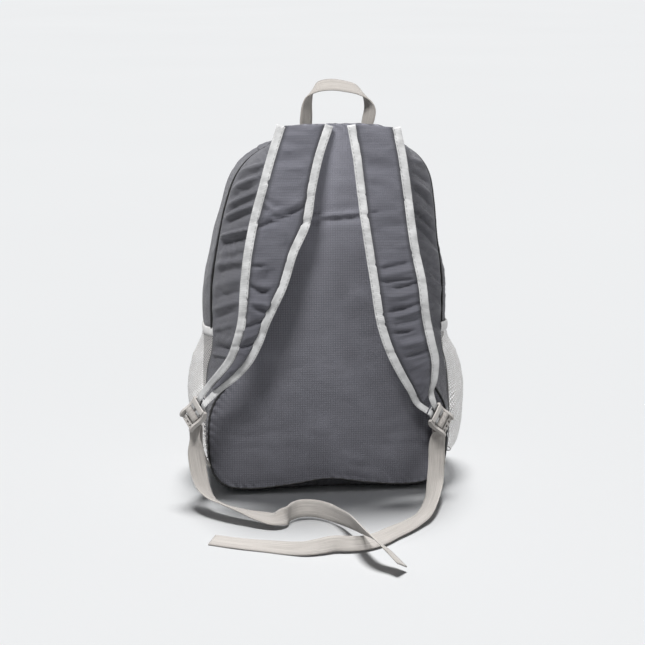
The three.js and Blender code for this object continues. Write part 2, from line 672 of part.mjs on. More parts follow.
// The two trims go on past the padding, side by side round the buckle's top bar and back behind it
function trimGeometry(sideName, edge) {
  const frame = buckleFrame(sideName);
  const rows = strapRows[sideName].map((row) => {
    const across = trimPoint(row, 'inner').sub(trimPoint(row, 'outer')).normalize();
    return { at: trimPoint(row, edge), across };
  });
  const beside = (edge === 'outer' ? 1 : -1) * (trimWidth / 2 + seamGap);
  const across = frame.x.clone().negate();
  const clear = seamGap + trimThickness / 2;
  const away = topBar.depth / 2 + clear;
  rows.push({ at: onBuckle(frame, beside, topBar.y - 9, away + 0.6), across });
  rows.push({ at: onBuckle(frame, beside, topBar.y - 4, away + 0.2), across });
  for (const angle of [90, 45, 0, -45, -90]) {
    const turn = THREE.MathUtils.degToRad(angle);
    const y = topBar.y + (topBar.length / 2 + clear) * Math.cos(turn);
    rows.push({ at: onBuckle(frame, beside, y, away * Math.sin(turn)), across });
  }
  rows.push({ at: onBuckle(frame, beside, topBar.y - trimTabLength * 0.5, -away), across });
  rows.push({ at: onBuckle(frame, beside, topBar.y - trimTabLength, -away), across });
  for (const row of rows) {
    row.width = trimWidth;
    row.thickness = trimThickness;
  }
  return bandGeometry(smoothStations(rows, 38), flatSection);
}

// The webbing comes up behind, turns over the middle bar and ends behind the lower bar
function lowerWebbingGeometry(sideName) {
  const frame = buckleFrame(sideName);
  const place = anchorPlaces[sideName];
  const away = middleBar.depth / 2 + seamGap + webbingThickness / 2;
  const behind = lowerBar.depth / 2 + seamGap + webbingThickness / 2;
  const sewn = new THREE.Vector3(sideName === 'left' ? -1 : 1, 0, 0);
  const between = new THREE.Vector3(
    place.middleX * halfWidth, place.middleY * bagDepth, place.middleZ * bagHeight);
  const across = frame.x.clone();
  const anchor = new THREE.Vector3(place.x * halfWidth, place.y * bagDepth, place.z * bagHeight);
  const rows = [{ at: anchor, across: sewn }, { at: between, across: sewn }];
  rows.push({ at: onBuckle(frame, 0, middleBar.y + 10, -away - 10), across });
  rows.push({ at: onBuckle(frame, 0, middleBar.y + 7, -away - 4), across });
  rows.push({ at: onBuckle(frame, 0, middleBar.y + 3, -away - 0.6), across });
  for (const angle of [-90, -45, 0, 45, 90]) {
    const turn = THREE.MathUtils.degToRad(angle);
    rows.push({ at: onBuckle(frame, 0, middleBar.y - away * Math.cos(turn), away * Math.sin(turn)), across });
  }
  rows.push({ at: onBuckle(frame, 0, middleBar.y + 4.5, away * 0.55), across });
  rows.push({ at: onBuckle(frame, 0, lowerBar.y - 4.6, -behind * 0.6), across });
  rows.push({ at: onBuckle(frame, 0, lowerBar.y - 1, -behind - 0.5), across });
  rows.push({ at: onBuckle(frame, 0, lowerBar.y + 2, -tailDepth + webbingThickness + seamGap), across });
  for (const row of rows) {
    row.width = webbingWidth;
    row.thickness = webbingThickness;
  }
  return bandGeometry(smoothStations(rows, 40), flatSection);
}

function tailGeometry(sideName) {
  const frame = buckleFrame(sideName);
  const { startAcross, startDown, across } = tailStarts[sideName];
  const rows = [{ at: onBuckle(frame, startAcross, startDown, -tailDepth), across: new THREE.Vector3(...across) }];
  for (const row of tailRoutes[sideName]) {
    rows.push({ at: new THREE.Vector3(...row.at), across: new THREE.Vector3(...row.across) });
  }
  for (const row of rows) {
    row.width = webbingWidth;
    row.thickness = webbingThickness;
  }
  return bandGeometry(smoothStations(rows, 48), flatSection);
}

function rowAtX(x, share) {
  let [low, high] = [lastRow - 2, lastRow];
  const side = x < bagPoint(lastRow, share).x ? -1 : 1;
  for (let k = 0; k < 30; k += 1) {
    const middle = (low + high) / 2;
    const inside = side * bagPoint(side * middle, share).x < side * x;
    [low, high] = inside ? [low, middle] : [middle, high];
  }
  return side * low;
}

function handleGeometry() {
  const share = handleSetBack / (bagDepth * outline('depth', lastRow));
  const centre = bagPoint(lastRow, share).x;
  const seat = (end) => {
    const row = rowAtX(centre + end * handleSpan, share);
    return bagPoint(row, share).addScaledVector(bagNormal(row, share), 3 * seamGap);
  };
  const feet = [seat(-0.5), seat(0.5)];
  const rows = handleRows.map((row) => {
    const floor = THREE.MathUtils.lerp(feet[0].z, feet[1].z, row.x + 0.5);
    const at = new THREE.Vector3(centre + row.x * handleSpan, handleSetBack, floor + row.rise * handleRise);
    return { at, across: new THREE.Vector3(...row.across), width: webbingWidth, thickness: webbingThickness };
  });
  return bandGeometry(smoothStations(rows, 30), flatSection, true);
}

// The zip's slider with its pull, closed at the top of the bag
function sliderGeometry() {
  const row = lastRow;
  const share = zipSeat / bagDepth;
  const seat = bagPoint(row, share);
  const normal = bagNormal(row, share);
  const body = new THREE.BoxGeometry(sliderLength, sliderWidth, sliderThickness).translate(0, 0, sliderThickness / 2);
  const pull = new THREE.BoxGeometry(pullLength, pullWidth, pullThickness);
  pull.translate(pullLength / 2 - 2, 0, sliderThickness + pullThickness / 2 - 0.3);
  const whole = geometryFrom(solidFrom(body).add(solidFrom(pull)));
  const x = new THREE.Vector3(1, 0, 0);
  const y = normal.clone().cross(x).normalize();
  const frame = new THREE.Matrix4().makeBasis(x, y, normal);
  return whole.applyMatrix4(frame.setPosition(seat.addScaledVector(normal, 2 * seamGap)));
}

const finishes = {
  ripstop: { color: 0x5d5e66, roughness: 0.72, metalness: 0 },
  cloth: { color: 0x505156, roughness: 0.5, metalness: 0 },
  trim: { color: 0xd9d8d6, roughness: 0.8, metalness: 0 },
  webbing: { color: 0xb4aea8, roughness: 0.85, metalness: 0 },
  mesh: { color: 0xcfccc7, roughness: 0.85, metalness: 0 },
  plastic: { color: 0xbdb8b2, roughness: 0.42, metalness: 0 },
  zip: { color: 0x1d1d20, roughness: 0.6, metalness: 0 },
};

const group = new THREE.Group();

function addPiece(name, geometry, finish) {
  const material = new THREE.MeshStandardMaterial(finishes[finish]);
  const mesh = new THREE.Mesh(geometry, material);
  mesh.name = name;
  group.add(mesh);
  return mesh;
}

const backSide = () => 0;
const frontSide = () => 1;
const zipBack = (row) => zipEdge(row, -1);
const zipFront = (row) => zipEdge(row, 1);
const cornerEnd = cornerRow + rowsFor(seamGap, cornerRow);
const shoulderEnd = shoulderRow - rowsFor(seamGap, shoulderRow);
const topSpan = lastRow - shoulderRow;

addPiece('back_panel', backPanelGeometry(), 'ripstop');
addPiece('front_panel', frontPanelGeometry(), 'cloth');
addPiece('bottom_panel', bagStrip(16, 6, -cornerRow, cornerRow, backSide, frontSide, false), 'cloth');
for (const side of [-1, 1]) {
  const name = side < 0 ? 'left' : 'right';
  const [low, high] = [side * cornerEnd, side * shoulderEnd];
  addPiece(`side_panel_${name}`, bagStrip(30, 4, low, high, backSide, zipBack), 'cloth');
  addPiece(`front_side_${name}`, bagStrip(26, 4, low, high, zipFront, frontSide, false), 'cloth');
  addPiece(`mesh_pocket_${name}`, pocketGeometry(side), 'mesh');
  addPiece(`pocket_hem_${name}`, hemGeometry(side), 'trim');
  addPiece(`strap_${name}`, strapGeometry(name), 'ripstop');
  addPiece(`strap_trim_${name}_outer`, trimGeometry(name, 'outer'), 'trim');
  addPiece(`strap_trim_${name}_inner`, trimGeometry(name, 'inner'), 'trim');
  addPiece(`buckle_${name}`, buckleGeometry(name), 'plastic');
  addPiece(`lower_webbing_${name}`, lowerWebbingGeometry(name), 'webbing');
  addPiece(`tail_${name}`, tailGeometry(name), 'webbing');
}

// A strip over the top of the bag, from the left shoulder to the right
function topStrip(columns, rows, lowShare, highShare, fromRow) {
  const over = lastRow - fromRow;
  return sheetGeometry(columns, rows, (u, v) => {
    const place = THREE.MathUtils.lerp(-over, over, u);
    const row = place < 0 ? -(lastRow + place) : lastRow - place;
    const share = THREE.MathUtils.lerp(lowShare(row), highShare(row), v);
    const outside = bagPoint(row, share);
    return { outside, inside: outside.clone().addScaledVector(bagNormal(row, share), -clothWall) };
  });
}

const zipEnd = hemRow + 0.3;
const zipInner = (row) => zipEdge(row, -1) + seamGap / bagDepth;
const zipOuter = (row) => zipEdge(row, 1) - seamGap / bagDepth;
addPiece('top_panel', topStrip(12, 4, backSide, zipBack, lastRow - topSpan), 'cloth');
addPiece('front_top', topStrip(12, 5, zipFront, frontSide, lastRow - topSpan), 'cloth');
addPiece('zip', topStrip(40, 1, zipInner, zipOuter, zipEnd), 'zip');
addPiece('zip_slider', sliderGeometry(), 'zip');
addPiece('piping', pipingGeometry(), 'zip');
addPiece('handle', handleGeometry(), 'webbing');

// The origin is the middle of the bottom of the bag, its free tails left out
const box = new THREE.Box3();
for (const mesh of group.children) {
  if (!mesh.name.startsWith('tail')) box.expandByObject(mesh);
}
const middle = box.getCenter(new THREE.Vector3());
group.position.set(-middle.x, -middle.y, -box.min.z);

export default group;
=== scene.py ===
from functools import lru_cache
from math import copysign, cos, exp, hypot, pi, radians, sin

import bmesh
import bpy
from mathutils import Matrix, Vector, noise


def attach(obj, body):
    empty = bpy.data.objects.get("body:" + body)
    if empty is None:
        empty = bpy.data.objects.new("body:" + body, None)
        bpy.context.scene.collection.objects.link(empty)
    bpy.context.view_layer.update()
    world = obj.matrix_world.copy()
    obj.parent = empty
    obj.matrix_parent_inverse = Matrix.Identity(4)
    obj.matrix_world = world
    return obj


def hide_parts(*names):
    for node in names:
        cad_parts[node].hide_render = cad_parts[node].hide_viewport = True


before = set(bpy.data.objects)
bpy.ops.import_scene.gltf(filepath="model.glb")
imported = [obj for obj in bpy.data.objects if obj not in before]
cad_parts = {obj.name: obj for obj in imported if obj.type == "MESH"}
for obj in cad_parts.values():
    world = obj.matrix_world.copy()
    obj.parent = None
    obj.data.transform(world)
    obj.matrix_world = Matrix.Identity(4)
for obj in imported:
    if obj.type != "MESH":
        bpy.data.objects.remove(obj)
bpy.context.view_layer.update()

# A packable backpack that stands on the floor with its back panel and straps towards the camera.
# Lengths are in millimetres, +Z up and the back panel facing -Y, until toFrame places a point.
originShift = Vector((3.90978, -54.30234, 0))


def toFrame(point):
    return (point + originShift) * 0.001


def smoothStep(low, high, value):
    t = min(1, max(0, (value - low) / (high - low)))
    return t * t * (3 - 2 * t)


def mix(a, b, t):
    return a + (b - a) * t


# The photograph's viewing angle, aimed at a point in the bag
view = {"target": (-12, 0, 209), "distance": 1967, "turn": -6, "rise": 13, "lens": 93.04}


def makeCamera():
    turn, rise = radians(view["turn"]), radians(view["rise"])
    back = Vector((sin(turn) * cos(rise), -cos(turn) * cos(rise), sin(rise)))
    right = Vector((cos(turn), sin(turn), 0))
    axes = Matrix((right, back.cross(right), back)).transposed().to_4x4()
    place = toFrame(Vector(view["target"]) + back * view["distance"])
    camera = bpy.data.objects.new("photoView", bpy.data.cameras.new("photoView"))
    camera.data.lens = view["lens"]
    camera.data.sensor_width = 36
    camera.matrix_world = Matrix.Translation(place) @ axes
    bpy.context.scene.collection.objects.link(camera)
    bpy.context.scene.camera = camera


makeCamera()
print("camera is set")


# Turns a bmesh in millimetres into a piece in the frame, with its finish, and hides what it replaces
def finishPiece(bm, name, finish, nodes=(), smooth=True):
    for vert in bm.verts:
        vert.co = toFrame(vert.co)
    mesh = bpy.data.meshes.new(name)
    bm.to_mesh(mesh)
    bm.free()
    if smooth:
        mesh.shade_smooth()
    mesh.materials.append(finishes[finish])
    piece = bpy.data.objects.new(name, mesh)
    bpy.context.scene.collection.objects.link(piece)
    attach(piece, "root")
    if nodes:
        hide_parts(*nodes)
    return piece


# Sets the cloth's own lengths as its UV map, from each corner's point and the lengths it has
def mapCloth(bm, lengths):
    uvMap = bm.loops.layers.uv["cloth"]
    for face in bm.faces:
        for loop in face.loops:
            u, v = loop[uvMap].uv * 1000
            loop[uvMap].uv = Vector(lengths(loop.vert.co, u, v)) * 0.001


# A grid whose points place(u, v) gives
def clothGrid(columns, rows, place, span):
    bm = bmesh.new()
    bm.loops.layers.uv.new("cloth")
    bmesh.ops.create_grid(bm, x_segments=columns, y_segments=rows, size=0.5)
    mapCloth(bm, lambda at, u, v: ((at.x + 0.5) * span[0], (at.y + 0.5) * span[1]))
    for vert in bm.verts:
        vert.co = place(vert.co.x + 0.5, vert.co.y + 0.5)
    return bm


# Turns a sheet's faces away from a point inside it
def faceAwayFrom(bm, inside):
    outward = sum((f.calc_center_median() - inside).dot(f.normal) * f.calc_area() for f in bm.faces)
    if outward < 0:
        bmesh.ops.reverse_faces(bm, faces=bm.faces)


# Moves each point along the cloth's normal by push(point)
def pressCloth(bm, push):
    bm.normal_update()
    moves = [(vert, vert.normal * push(vert.co)) for vert in bm.verts]
    for vert, move in moves:
        vert.co += move


# Joins the long edges of a rolled grid and fills its two ends
def closeTube(bm):
    bmesh.ops.remove_doubles(bm, verts=bm.verts, dist=0.001)
    ends = [edge for edge in bm.edges if edge.is_boundary]
    bmesh.ops.holes_fill(bm, edges=ends)
    bmesh.ops.recalc_face_normals(bm, faces=bm.faces)


# Gives a sheet its wall, on its inner side
def thicken(piece, wall):
    shell = piece.modifiers.new("wall", "SOLIDIFY")
    shell.thickness = wall * 0.001
    shell.offset = -1
    return piece


# Where t falls in a row of places: the one before, the two it lies between, the one after and how far along
def neighbours(places, t):
    at = min(max(t, 0), 1) * (len(places) - 1)
    index = min(int(at), len(places) - 2)
    start, end = places[index], places[index + 1]
    before = places[index - 1] if index else start * 2 - end
    after = places[index + 2] if index + 2 < len(places) else end * 2 - start
    return before, start, end, after, at - index


# A smooth line through points that may stand unevenly far apart
def curvePoint(points, t):
    before, start, end, after, part = neighbours(points, t)
    step = max(1e-4, (end - start).length) ** 0.5
    stepIn = max(1e-4, (start - before).length) ** 0.5
    stepOut = max(1e-4, (after - end).length) ** 0.5
    leave = (start - before) / stepIn - (end - before) / (stepIn + step) + (end - start) / step
    arrive = (end - start) / step - (after - start) / (step + stepOut) + (after - end) / stepOut
    leave, arrive = leave * step, arrive * step
    square = (end - start) * 3 - leave * 2 - arrive
    cube = (start - end) * 2 + leave + arrive
    return start + leave * part + square * part ** 2 + cube * part ** 3


def curveWay(ways, t):
    before, start, end, after, part = neighbours(ways, t)
    square = before * 2 - start * 5 + end * 4 - after
    cube = after - before + (start - end) * 3
    return (start * 2 + (end - before) * part + square * part ** 2 + cube * part ** 3).normalized()


def rowValue(numbers, t):
    _, start, end, _, part = neighbours(numbers, t)
    return mix(start, end, part)


# A band's own axes at t: its middle, the way its width runs and the way its face looks
def bandFrame(band, t):
    at = curvePoint(band["at"], t)
    ahead = curvePoint(band["at"], t + 0.002) - curvePoint(band["at"], t - 0.002)
    across = curveWay(band["across"], t)
    along = ahead.normalized()
    if not band.get("sheared"):
        across = (across - along * across.dot(along)).normalized()
    return at, across, along.cross(across).normalized()


def bandLength(band, steps=400):
    points = [curvePoint(band["at"], k / steps) for k in range(steps + 1)]
    return sum((b - a).length for a, b in zip(points, points[1:]))


# Webbing or tape: a thin band with rounded edges, which lift(t, w) waves off its line
def webbingBand(band, along, lift=lambda t, w: 0):
    length = bandLength(band)
    corners = [(-1, 0), (-0.96, 1), (-0.55, 1), (0, 1), (0.55, 1), (0.96, 1),
               (1, 0), (0.96, -1), (0.55, -1), (0, -1), (-0.55, -1), (-0.96, -1)]

    def place(t, around):
        wide, thick = corners[round(around * len(corners)) % len(corners)]
        at, across, face = bandFrame(band, t)
        out = thick * band["thickness"] / 2 + lift(t, wide)
        width = rowValue(band["widths"], t) if "widths" in band else band["width"]
        return at + across * (wide * width / 2) + face * out

    bm = clothGrid(along, len(corners), place, (length, 1))
    mapCloth(bm, lambda at, u, v: (u, corners[round(v * len(corners)) % len(corners)][0] * band["width"] / 2))
    closeTube(bm)
    return bm


strapLift = 38  # how far the straps stand off the back panel at most
# The buckles come before the webbing that runs through them
buckle = {"length": 33, "slot": 21.4, "cheek": 3.1, "wall": 8.6, "wave": 2.6}
bucklePlaces = {
    "left": {"at": (-165.9, -26.22, 108.58), "across": (-11.2, 18.9, 15.7), "down": (-16.3, 10.9, -24.7)},
    "right": {"at": (126.75, -24.32, 92.56), "across": (13.2, 14.3, 18.7), "down": (20.7, 12.9, -24.5)},
}


# Its axes: x from the inner to the outer cheek, y down it and z out of its face
def buckleAxes(side):
    place = bucklePlaces[side]
    x = Vector(place["across"]).normalized()
    down = Vector(place["down"])
    y = (down - x * down.dot(x)).normalized()
    z = x.cross(y)
    if z.y > 0:
        z = -z
    return Vector(place["at"]), x, y, z


def onBuckle(side, x, y, z):
    origin, across, down, face = buckleAxes(side)
    return origin + across * x + down * y + face * z


# A socket in sums: adding, multiplying and so on make Math nodes
class Value:
    def __init__(self, finish, socket):
        self.finish, self.socket = finish, socket

    def math(self, operation, first, second=0, third=0):
        return self.finish.node("ShaderNodeMath", {"operation": operation}, {0: first, 1: second, 2: third})

    def __add__(self, other):
        return self.math("ADD", self, other)

    def __sub__(self, other):
        return self.math("SUBTRACT", self, other)

    def __rsub__(self, other):
        return self.math("SUBTRACT", other, self)

    def __mul__(self, other):
        return self.math("MULTIPLY", self, other)

    def __truediv__(self, other):
        return self.math("DIVIDE", self, other)

    def __rtruediv__(self, other):
        return self.math("DIVIDE", other, self)

    __radd__, __rmul__ = __add__, __mul__

    def wave(self):
        return self.math("SINE", self)

    def size(self):
        return self.math("ABSOLUTE", self)

    def part(self):
        return self.math("FRACT", self)

    def whole(self):
        return self.math("FLOOR", self)

    def most(self, other):
        return self.math("MAXIMUM", self, other)

    def ease(self, low, high):
        inputs = {"Value": self, "From Min": low, "From Max": high, "To Min": 0.0, "To Max": 1.0}
        return self.finish.node("ShaderNodeMapRange", {"interpolation_type": "SMOOTHSTEP"}, inputs)


class Finish:
    def __init__(self, name, **fixed):
        self.material = bpy.data.materials.new(name)
        self.material.use_nodes = True
        self.tree = self.material.node_tree
        self.shader = self.tree.nodes["Principled BSDF"]
        for key, value in fixed.items():
            self.shader.inputs[key.replace("_", " ")].default_value = value

    # Any node: its settings first, then the values or links of its sockets
    def node(self, kind, settings=None, inputs=None, out=0):
        made = self.tree.nodes.new(kind)
        for key, value in (settings or {}).items():
            setattr(made, key, value)
        for key, value in (inputs or {}).items():
            if isinstance(value, Value):
                self.tree.links.new(value.socket, made.inputs[key])
            else:
                made.inputs[key].default_value = value
        return Value(self, made.outputs[out])

    # The cloth's own lengths in millimetres, and the place on the object
    def lengths(self):
        uv = self.node("ShaderNodeUVMap", {"uv_map": "cloth"})
        split = self.node("ShaderNodeSeparateXYZ", {}, {0: uv}).socket.node
        return Value(self, split.outputs[0]) * 1000, Value(self, split.outputs[1]) * 1000

    def place(self):
        return self.node("ShaderNodeTexCoord", out="Object")

    # Soft blotches, many or few by the scale
    def cloud(self, scale, detail=3, at=None):
        inputs = {"Vector": at or self.place(), "Scale": scale, "Detail": detail, "Roughness": 0.55}
        return self.node("ShaderNodeTexNoise", {}, inputs)

    def point(self, x, y, z=0.0):
        return self.node("ShaderNodeCombineXYZ", {}, {0: x, 1: y, 2: z})

    def blend(self, share, first, second):
        inputs = {"Factor": share, 6: first, 7: second}
        return self.node("ShaderNodeMix", {"data_type": "RGBA"}, inputs, out=2)

    def bump(self, height, distance):
        return self.node("ShaderNodeBump", {}, {"Height": height, "Distance": distance})

    def feed(self, **inputs):
        for key, value in inputs.items():
            self.tree.links.new(value.socket, self.shader.inputs[key.replace("_", " ")])
        return self.material


# A colour from its level as seen, 0 to 255, with a shift of its three channels and a share of its light
def tinted(level, shifts, share=1):
    return (*[((level + shift) / 255) ** 2.2 * share for shift in shifts], 1)


def grey(level, warm=0.0):
    return tinted(level, (warm, 0, -warm))


# Ripstop: a square grid of thicker threads in a fine plain weave, and the band of painted shade along the
# tapes. Lengths in millimetres, thread as a share.
ripstop = {"grid": 2.8, "thread": 0.16, "weave": 0.55, "tapeShadeFrom": 19, "tapeShadeTo": 27}


def ripstopFinish(name, level, tint, contrast, sheen, fade=0.0, paintedTapeShade=0.0):
    finish = Finish(name, Roughness=0.62, Specular_IOR_Level=0.35, Sheen_Weight=sheen, Sheen_Roughness=0.4)
    u, v = finish.lengths()
    lines = []
    for along in (u, v):
        middle = ((along / ripstop["grid"]).part() - 0.5).size()
        lines.append(middle.ease(0.5 - ripstop["thread"], 0.5))
    grid = lines[0].most(lines[1])
    weave = (u * (2 * pi / ripstop["weave"])).wave() * (v * (2 * pi / ripstop["weave"])).wave()
    cloud = finish.cloud(22, 4)
    colour = finish.blend(grid, tinted(level, tint), tinted(level, tint, 1 - contrast))
    colour = finish.blend(cloud.ease(0.45, 0.75) * 0.6, colour, tinted(level, tint, 1.22))
    if fade:  # painted light: lighter towards the top, where the ceiling light falls
        split = finish.node("ShaderNodeSeparateXYZ", {}, {0: finish.place()}).socket.node
        high = Value(finish, split.outputs[2]).ease(0.24, 0.42)
        colour = finish.blend(high * fade, colour, tinted(level, tint, 2))
    if paintedTapeShade:  # painted shade: darker along the tapes, where they shade the cloth beside them
        edge = v.size().ease(ripstop["tapeShadeFrom"], ripstop["tapeShadeTo"])
        colour = finish.blend(edge * paintedTapeShade, colour, tinted(level, tint, 0.25))
    height = grid * 0.7 + weave * 0.3 + finish.cloud(160, 3) * 0.8
    rough = 0.5 + cloud * 0.2
    return finish.feed(Base_Color=colour, Roughness=rough, Normal=finish.bump(height, 0.00025))


def tapeFinish():
    finish = Finish("bindingTape", Specular_IOR_Level=0.3, Sheen_Weight=0.15)
    u, v = finish.lengths()
    rib = (u * (2 * pi / 0.9)).wave()
    stitch = ((u / 2.6).part() - 0.5).size().ease(0.32, 0.24) * (v - 3.1).size().ease(0.45, 0.2)
    cloud = finish.cloud(60, 3)
    colour = finish.blend(cloud.ease(0.3, 0.7), grey(155), grey(185))
    colour = finish.blend(stitch * 0.75, colour, grey(120))
    height = rib * 0.25 - stitch * 0.8 + finish.cloud(240) * 0.6
    return finish.feed(Base_Color=colour, Roughness=0.72 + cloud * 0.15, Normal=finish.bump(height, 0.0003))


def webbingFinish(name, low, high):
    finish = Finish(name, Specular_IOR_Level=0.3, Sheen_Weight=0.2)
    u, v = finish.lengths()
    rib = (v * (2 * pi / 1.25)).wave()
    pick = (u * (2 * pi / 0.8) + (v / 0.625).whole() * pi).wave()
    streak = finish.cloud(1, 3, at=finish.point(u * 0.02, v * 1.6))
    colour = finish.blend(streak.ease(0.3, 0.7), grey(low, 5), grey(high, 5))
    # painted shade: the rib's grooves darker, where the bump sinks
    colour = finish.blend(rib.ease(-0.4, -1) * 0.35, colour, grey(120, 5))
    height = rib * 0.5 + pick * 0.3
    return finish.feed(Base_Color=colour, Roughness=0.7 + streak * 0.15, Normal=finish.bump(height, 0.0003))


net = {"width": 3.8, "height": 2.9, "threadFrom": 0.35, "threadTo": 0.41}  # of a hole with its threads


def meshFinish():
    finish = Finish("pocketMesh", Specular_IOR_Level=0.3)
    u, v = finish.lengths()
    first = (u / net["width"] + v / net["height"]).part() - 0.5
    second = (u / net["width"] - v / net["height"]).part() - 0.5
    thread = first.size().most(second.size())
    edge = u.ease(0.9, 0.7).most(v.ease(0.9, 0.7))
    alpha = thread.ease(net["threadFrom"], net["threadTo"]).most(edge)
    cloud = finish.cloud(80, 2)
    colour = finish.blend(edge, finish.blend(cloud, grey(188, 3), grey(214, 3)), grey(90))
    return finish.feed(Base_Color=colour, Alpha=alpha, Roughness=0.7 + cloud * 0.2,
                       Normal=finish.bump(thread, 0.0003))


def hemFinish():
    finish = Finish("elasticHem", Specular_IOR_Level=0.3, Sheen_Weight=0.15)
    u, v = finish.lengths()
    rib = (u * (2 * pi / 1.6)).wave()
    stitch = ((u / 2.4).part() - 0.5).size().ease(0.36, 0.26) * (v - 2).size().ease(0.4, 0.15)
    cloud = finish.cloud(90, 3)
    colour = finish.blend(cloud, grey(188, 1), grey(212, 1))
    colour = finish.blend(stitch * 0.6, colour, grey(150))
    height = rib * 0.4 - stitch
    return finish.feed(Base_Color=colour, Roughness=0.75 + cloud * 0.1, Normal=finish.bump(height, 0.0003))


def plasticFinish():
    finish = Finish("mouldedPlastic", Specular_IOR_Level=0.45)
    cloud = finish.cloud(70, 3)
    colour = finish.blend(cloud, grey(158, 4), grey(174, 4))
    grain = finish.cloud(1800, 2)
    return finish.feed(Base_Color=colour, Roughness=0.42 + cloud * 0.15, Normal=finish.bump(grain, 0.00005))


def darkFinish(name, level, pitch, rough):
    finish = Finish(name, Specular_IOR_Level=0.4)
    rib = (finish.lengths()[0] * (2 * pi / pitch)).wave()
    cloud = finish.cloud(120, 3)
    colour = finish.blend(cloud, grey(level), grey(level + 16))
    return finish.feed(Base_Color=colour, Roughness=rough + cloud * 0.2, Normal=finish.bump(rib, 0.0002))


finishes = {
    # The back panel and the straps carry painted light, lighter towards the top
    "ripstop": ripstopFinish("ripstopCloth", 102, (-1, -1, 6), 0.5, 0.1, 0.6),
    "cloth": ripstopFinish("sideCloth", 92, (-1, -1, 4), 0.1, 0.15),
    # The straps' cloth also carries painted shade along its tapes
    "strap": ripstopFinish("strapCloth", 88, (-1, -1, 6), 0.25, 0.15, 0.15, 0.8),
    "trim": tapeFinish(),
    "webbing": webbingFinish("webbing", 150, 182),
    # painted shade: the handle's webbing is a darker copy of the tails' webbing, set against the light on its
    # top
    "handle": webbingFinish("shadedHandleWebbing", 130, 158),
    "mesh": meshFinish(),
    "hem": hemFinish(),
    "plastic": plasticFinish(),
    "piping": darkFinish("darkPiping", 34, 1.1, 0.5),
    "zip": darkFinish("zipTape", 30, 0.7, 0.6),
}
print("materials are made")


# The free tails of the webbing
webbing = {"width": 20, "thickness": 1.5}
tailDepth = 6.3  # how far behind the buckle's middle a tail starts
tailStarts = {
    "left": {"x": -6, "y": 12, "across": (0.64, -0.76, 0)},
    "right": {"x": -8, "y": 12, "across": (0.76, 0.64, 0)},
}
tailRoutes = {  # x, y, z and the way the width runs
    "left": [
        (-165.3, -23, 84, 0.55, -0.84, 0), (-165, -25, 75, 0.62, -0.78, 0), (-164.5, -28, 65, 0.92, -0.38, 0),
        (-163.3, -33, 53, 1, 0, 0), (-161, -41, 39, 0.97, 0.2, -0.1), (-157, -53, 27, 0.85, 0.5, -0.2),
        (-149, -67, 19, 0.55, 0.75, -0.35), (-135, -82, 16, 0.4, 0.82, -0.38),
        (-119, -95, 14, 0.25, 0.93, -0.2), (-106, -104, 12, 0.1, 0.98, 0), (-93, -114, 11, 0.05, 0.95, 0.2),
        (-79, -121, 10, 0.1, 0.88, 0.42), (-68, -117, 11, 0.3, 0.68, 0.63),
        (-58, -104, 12.5, 0.25, 0.42, 0.85), (-46, -96, 13, 0.05, 0.35, 0.9), (-31, -97, 12.5, 0, 0.3, 0.95),
        (-17, -108, 12, 0, 0.3, 0.95), (-6, -126, 12.5, -0.15, 0.22, 0.95), (3, -157, 17, -0.3, 0.2, 0.93),
        (8, -191, 23, -0.46, 0.05, 0.88), (12, -217, 27, -0.6, -0.12, 0.78),
        (17, -238, 28, -0.67, -0.22, 0.7), (25, -253, 24, -0.71, -0.27, 0.64),
        (34, -263, 17, -0.73, -0.3, 0.61), (43, -277, 10, -0.74, -0.32, 0.58),
    ],
    "right": [
        (124.8, -19, 69, 0.95, 0.3, 0), (123.5, -20, 58, 1, 0.05, 0), (122.8, -24, 46, 1, 0, 0),
        (121, -32, 34, 0.98, 0.1, 0), (117.5, -46, 23, 0.93, 0.05, 0.15), (111, -70, 15, 0.8, -0.3, 0.3),
        (101, -98, 10, 0.72, -0.6, 0.2), (91, -119, 7, 0.72, -0.68, 0.05), (79, -135, 6, 0.72, -0.68, -0.1),
        (68, -149, 6, 0.7, -0.7, -0.2), (50, -168, 6.5, 0.6, -0.72, -0.32), (32, -188, 7, 0.42, -0.8, -0.4),
        (14, -200, 7.5, 0.2, -0.85, -0.5), (-3, -204, 8.5, 0, -0.8, -0.6), (-20, -203, 9, 0, -0.78, -0.62),
        (-36, -207, 8, -0.1, -0.8, -0.58), (-53, -208, 6.5, -0.1, -0.86, -0.48),
        (-69, -202, 5, 0.1, -0.92, -0.35), (-92, -191, 4, 0.2, -0.94, -0.26),
        (-122, -178, 3.5, 0.25, -0.95, -0.18), (-152, -162, 3, 0.3, -0.94, -0.15),
    ],
}


def makeTail(side):
    start = tailStarts[side]
    at = [onBuckle(side, start["x"], start["y"], -tailDepth)] + [Vector(row[:3]) for row in tailRoutes[side]]
    across = [Vector(start["across"])] + [Vector(row[3:]) for row in tailRoutes[side]]
    band = {"at": at, "across": across, **webbing}
    tail = finishPiece(webbingBand(band, 260), f"tail{side.title()}", "webbing", [f"tail_{side}"])
    length = bandLength(band)
    path = [toFrame(curvePoint(at, k / 39)) for k in range(40)]
    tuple(path[0])
    print(f"tail {side} is {length:.0f} mm long")


for side in ("left", "right"):
    makeTail(side)


bag = {
    "height": 445, "halfWidth": 150, "depth": 150, "topLean": 8, "backSkew": 5, "frontRound": 24,
    "frontRoundDepth": 36, "backBulge": 8, "frontBulge": 9, "wall": 1.2, "zipSeat": 51, "zipWidth": 6,
}
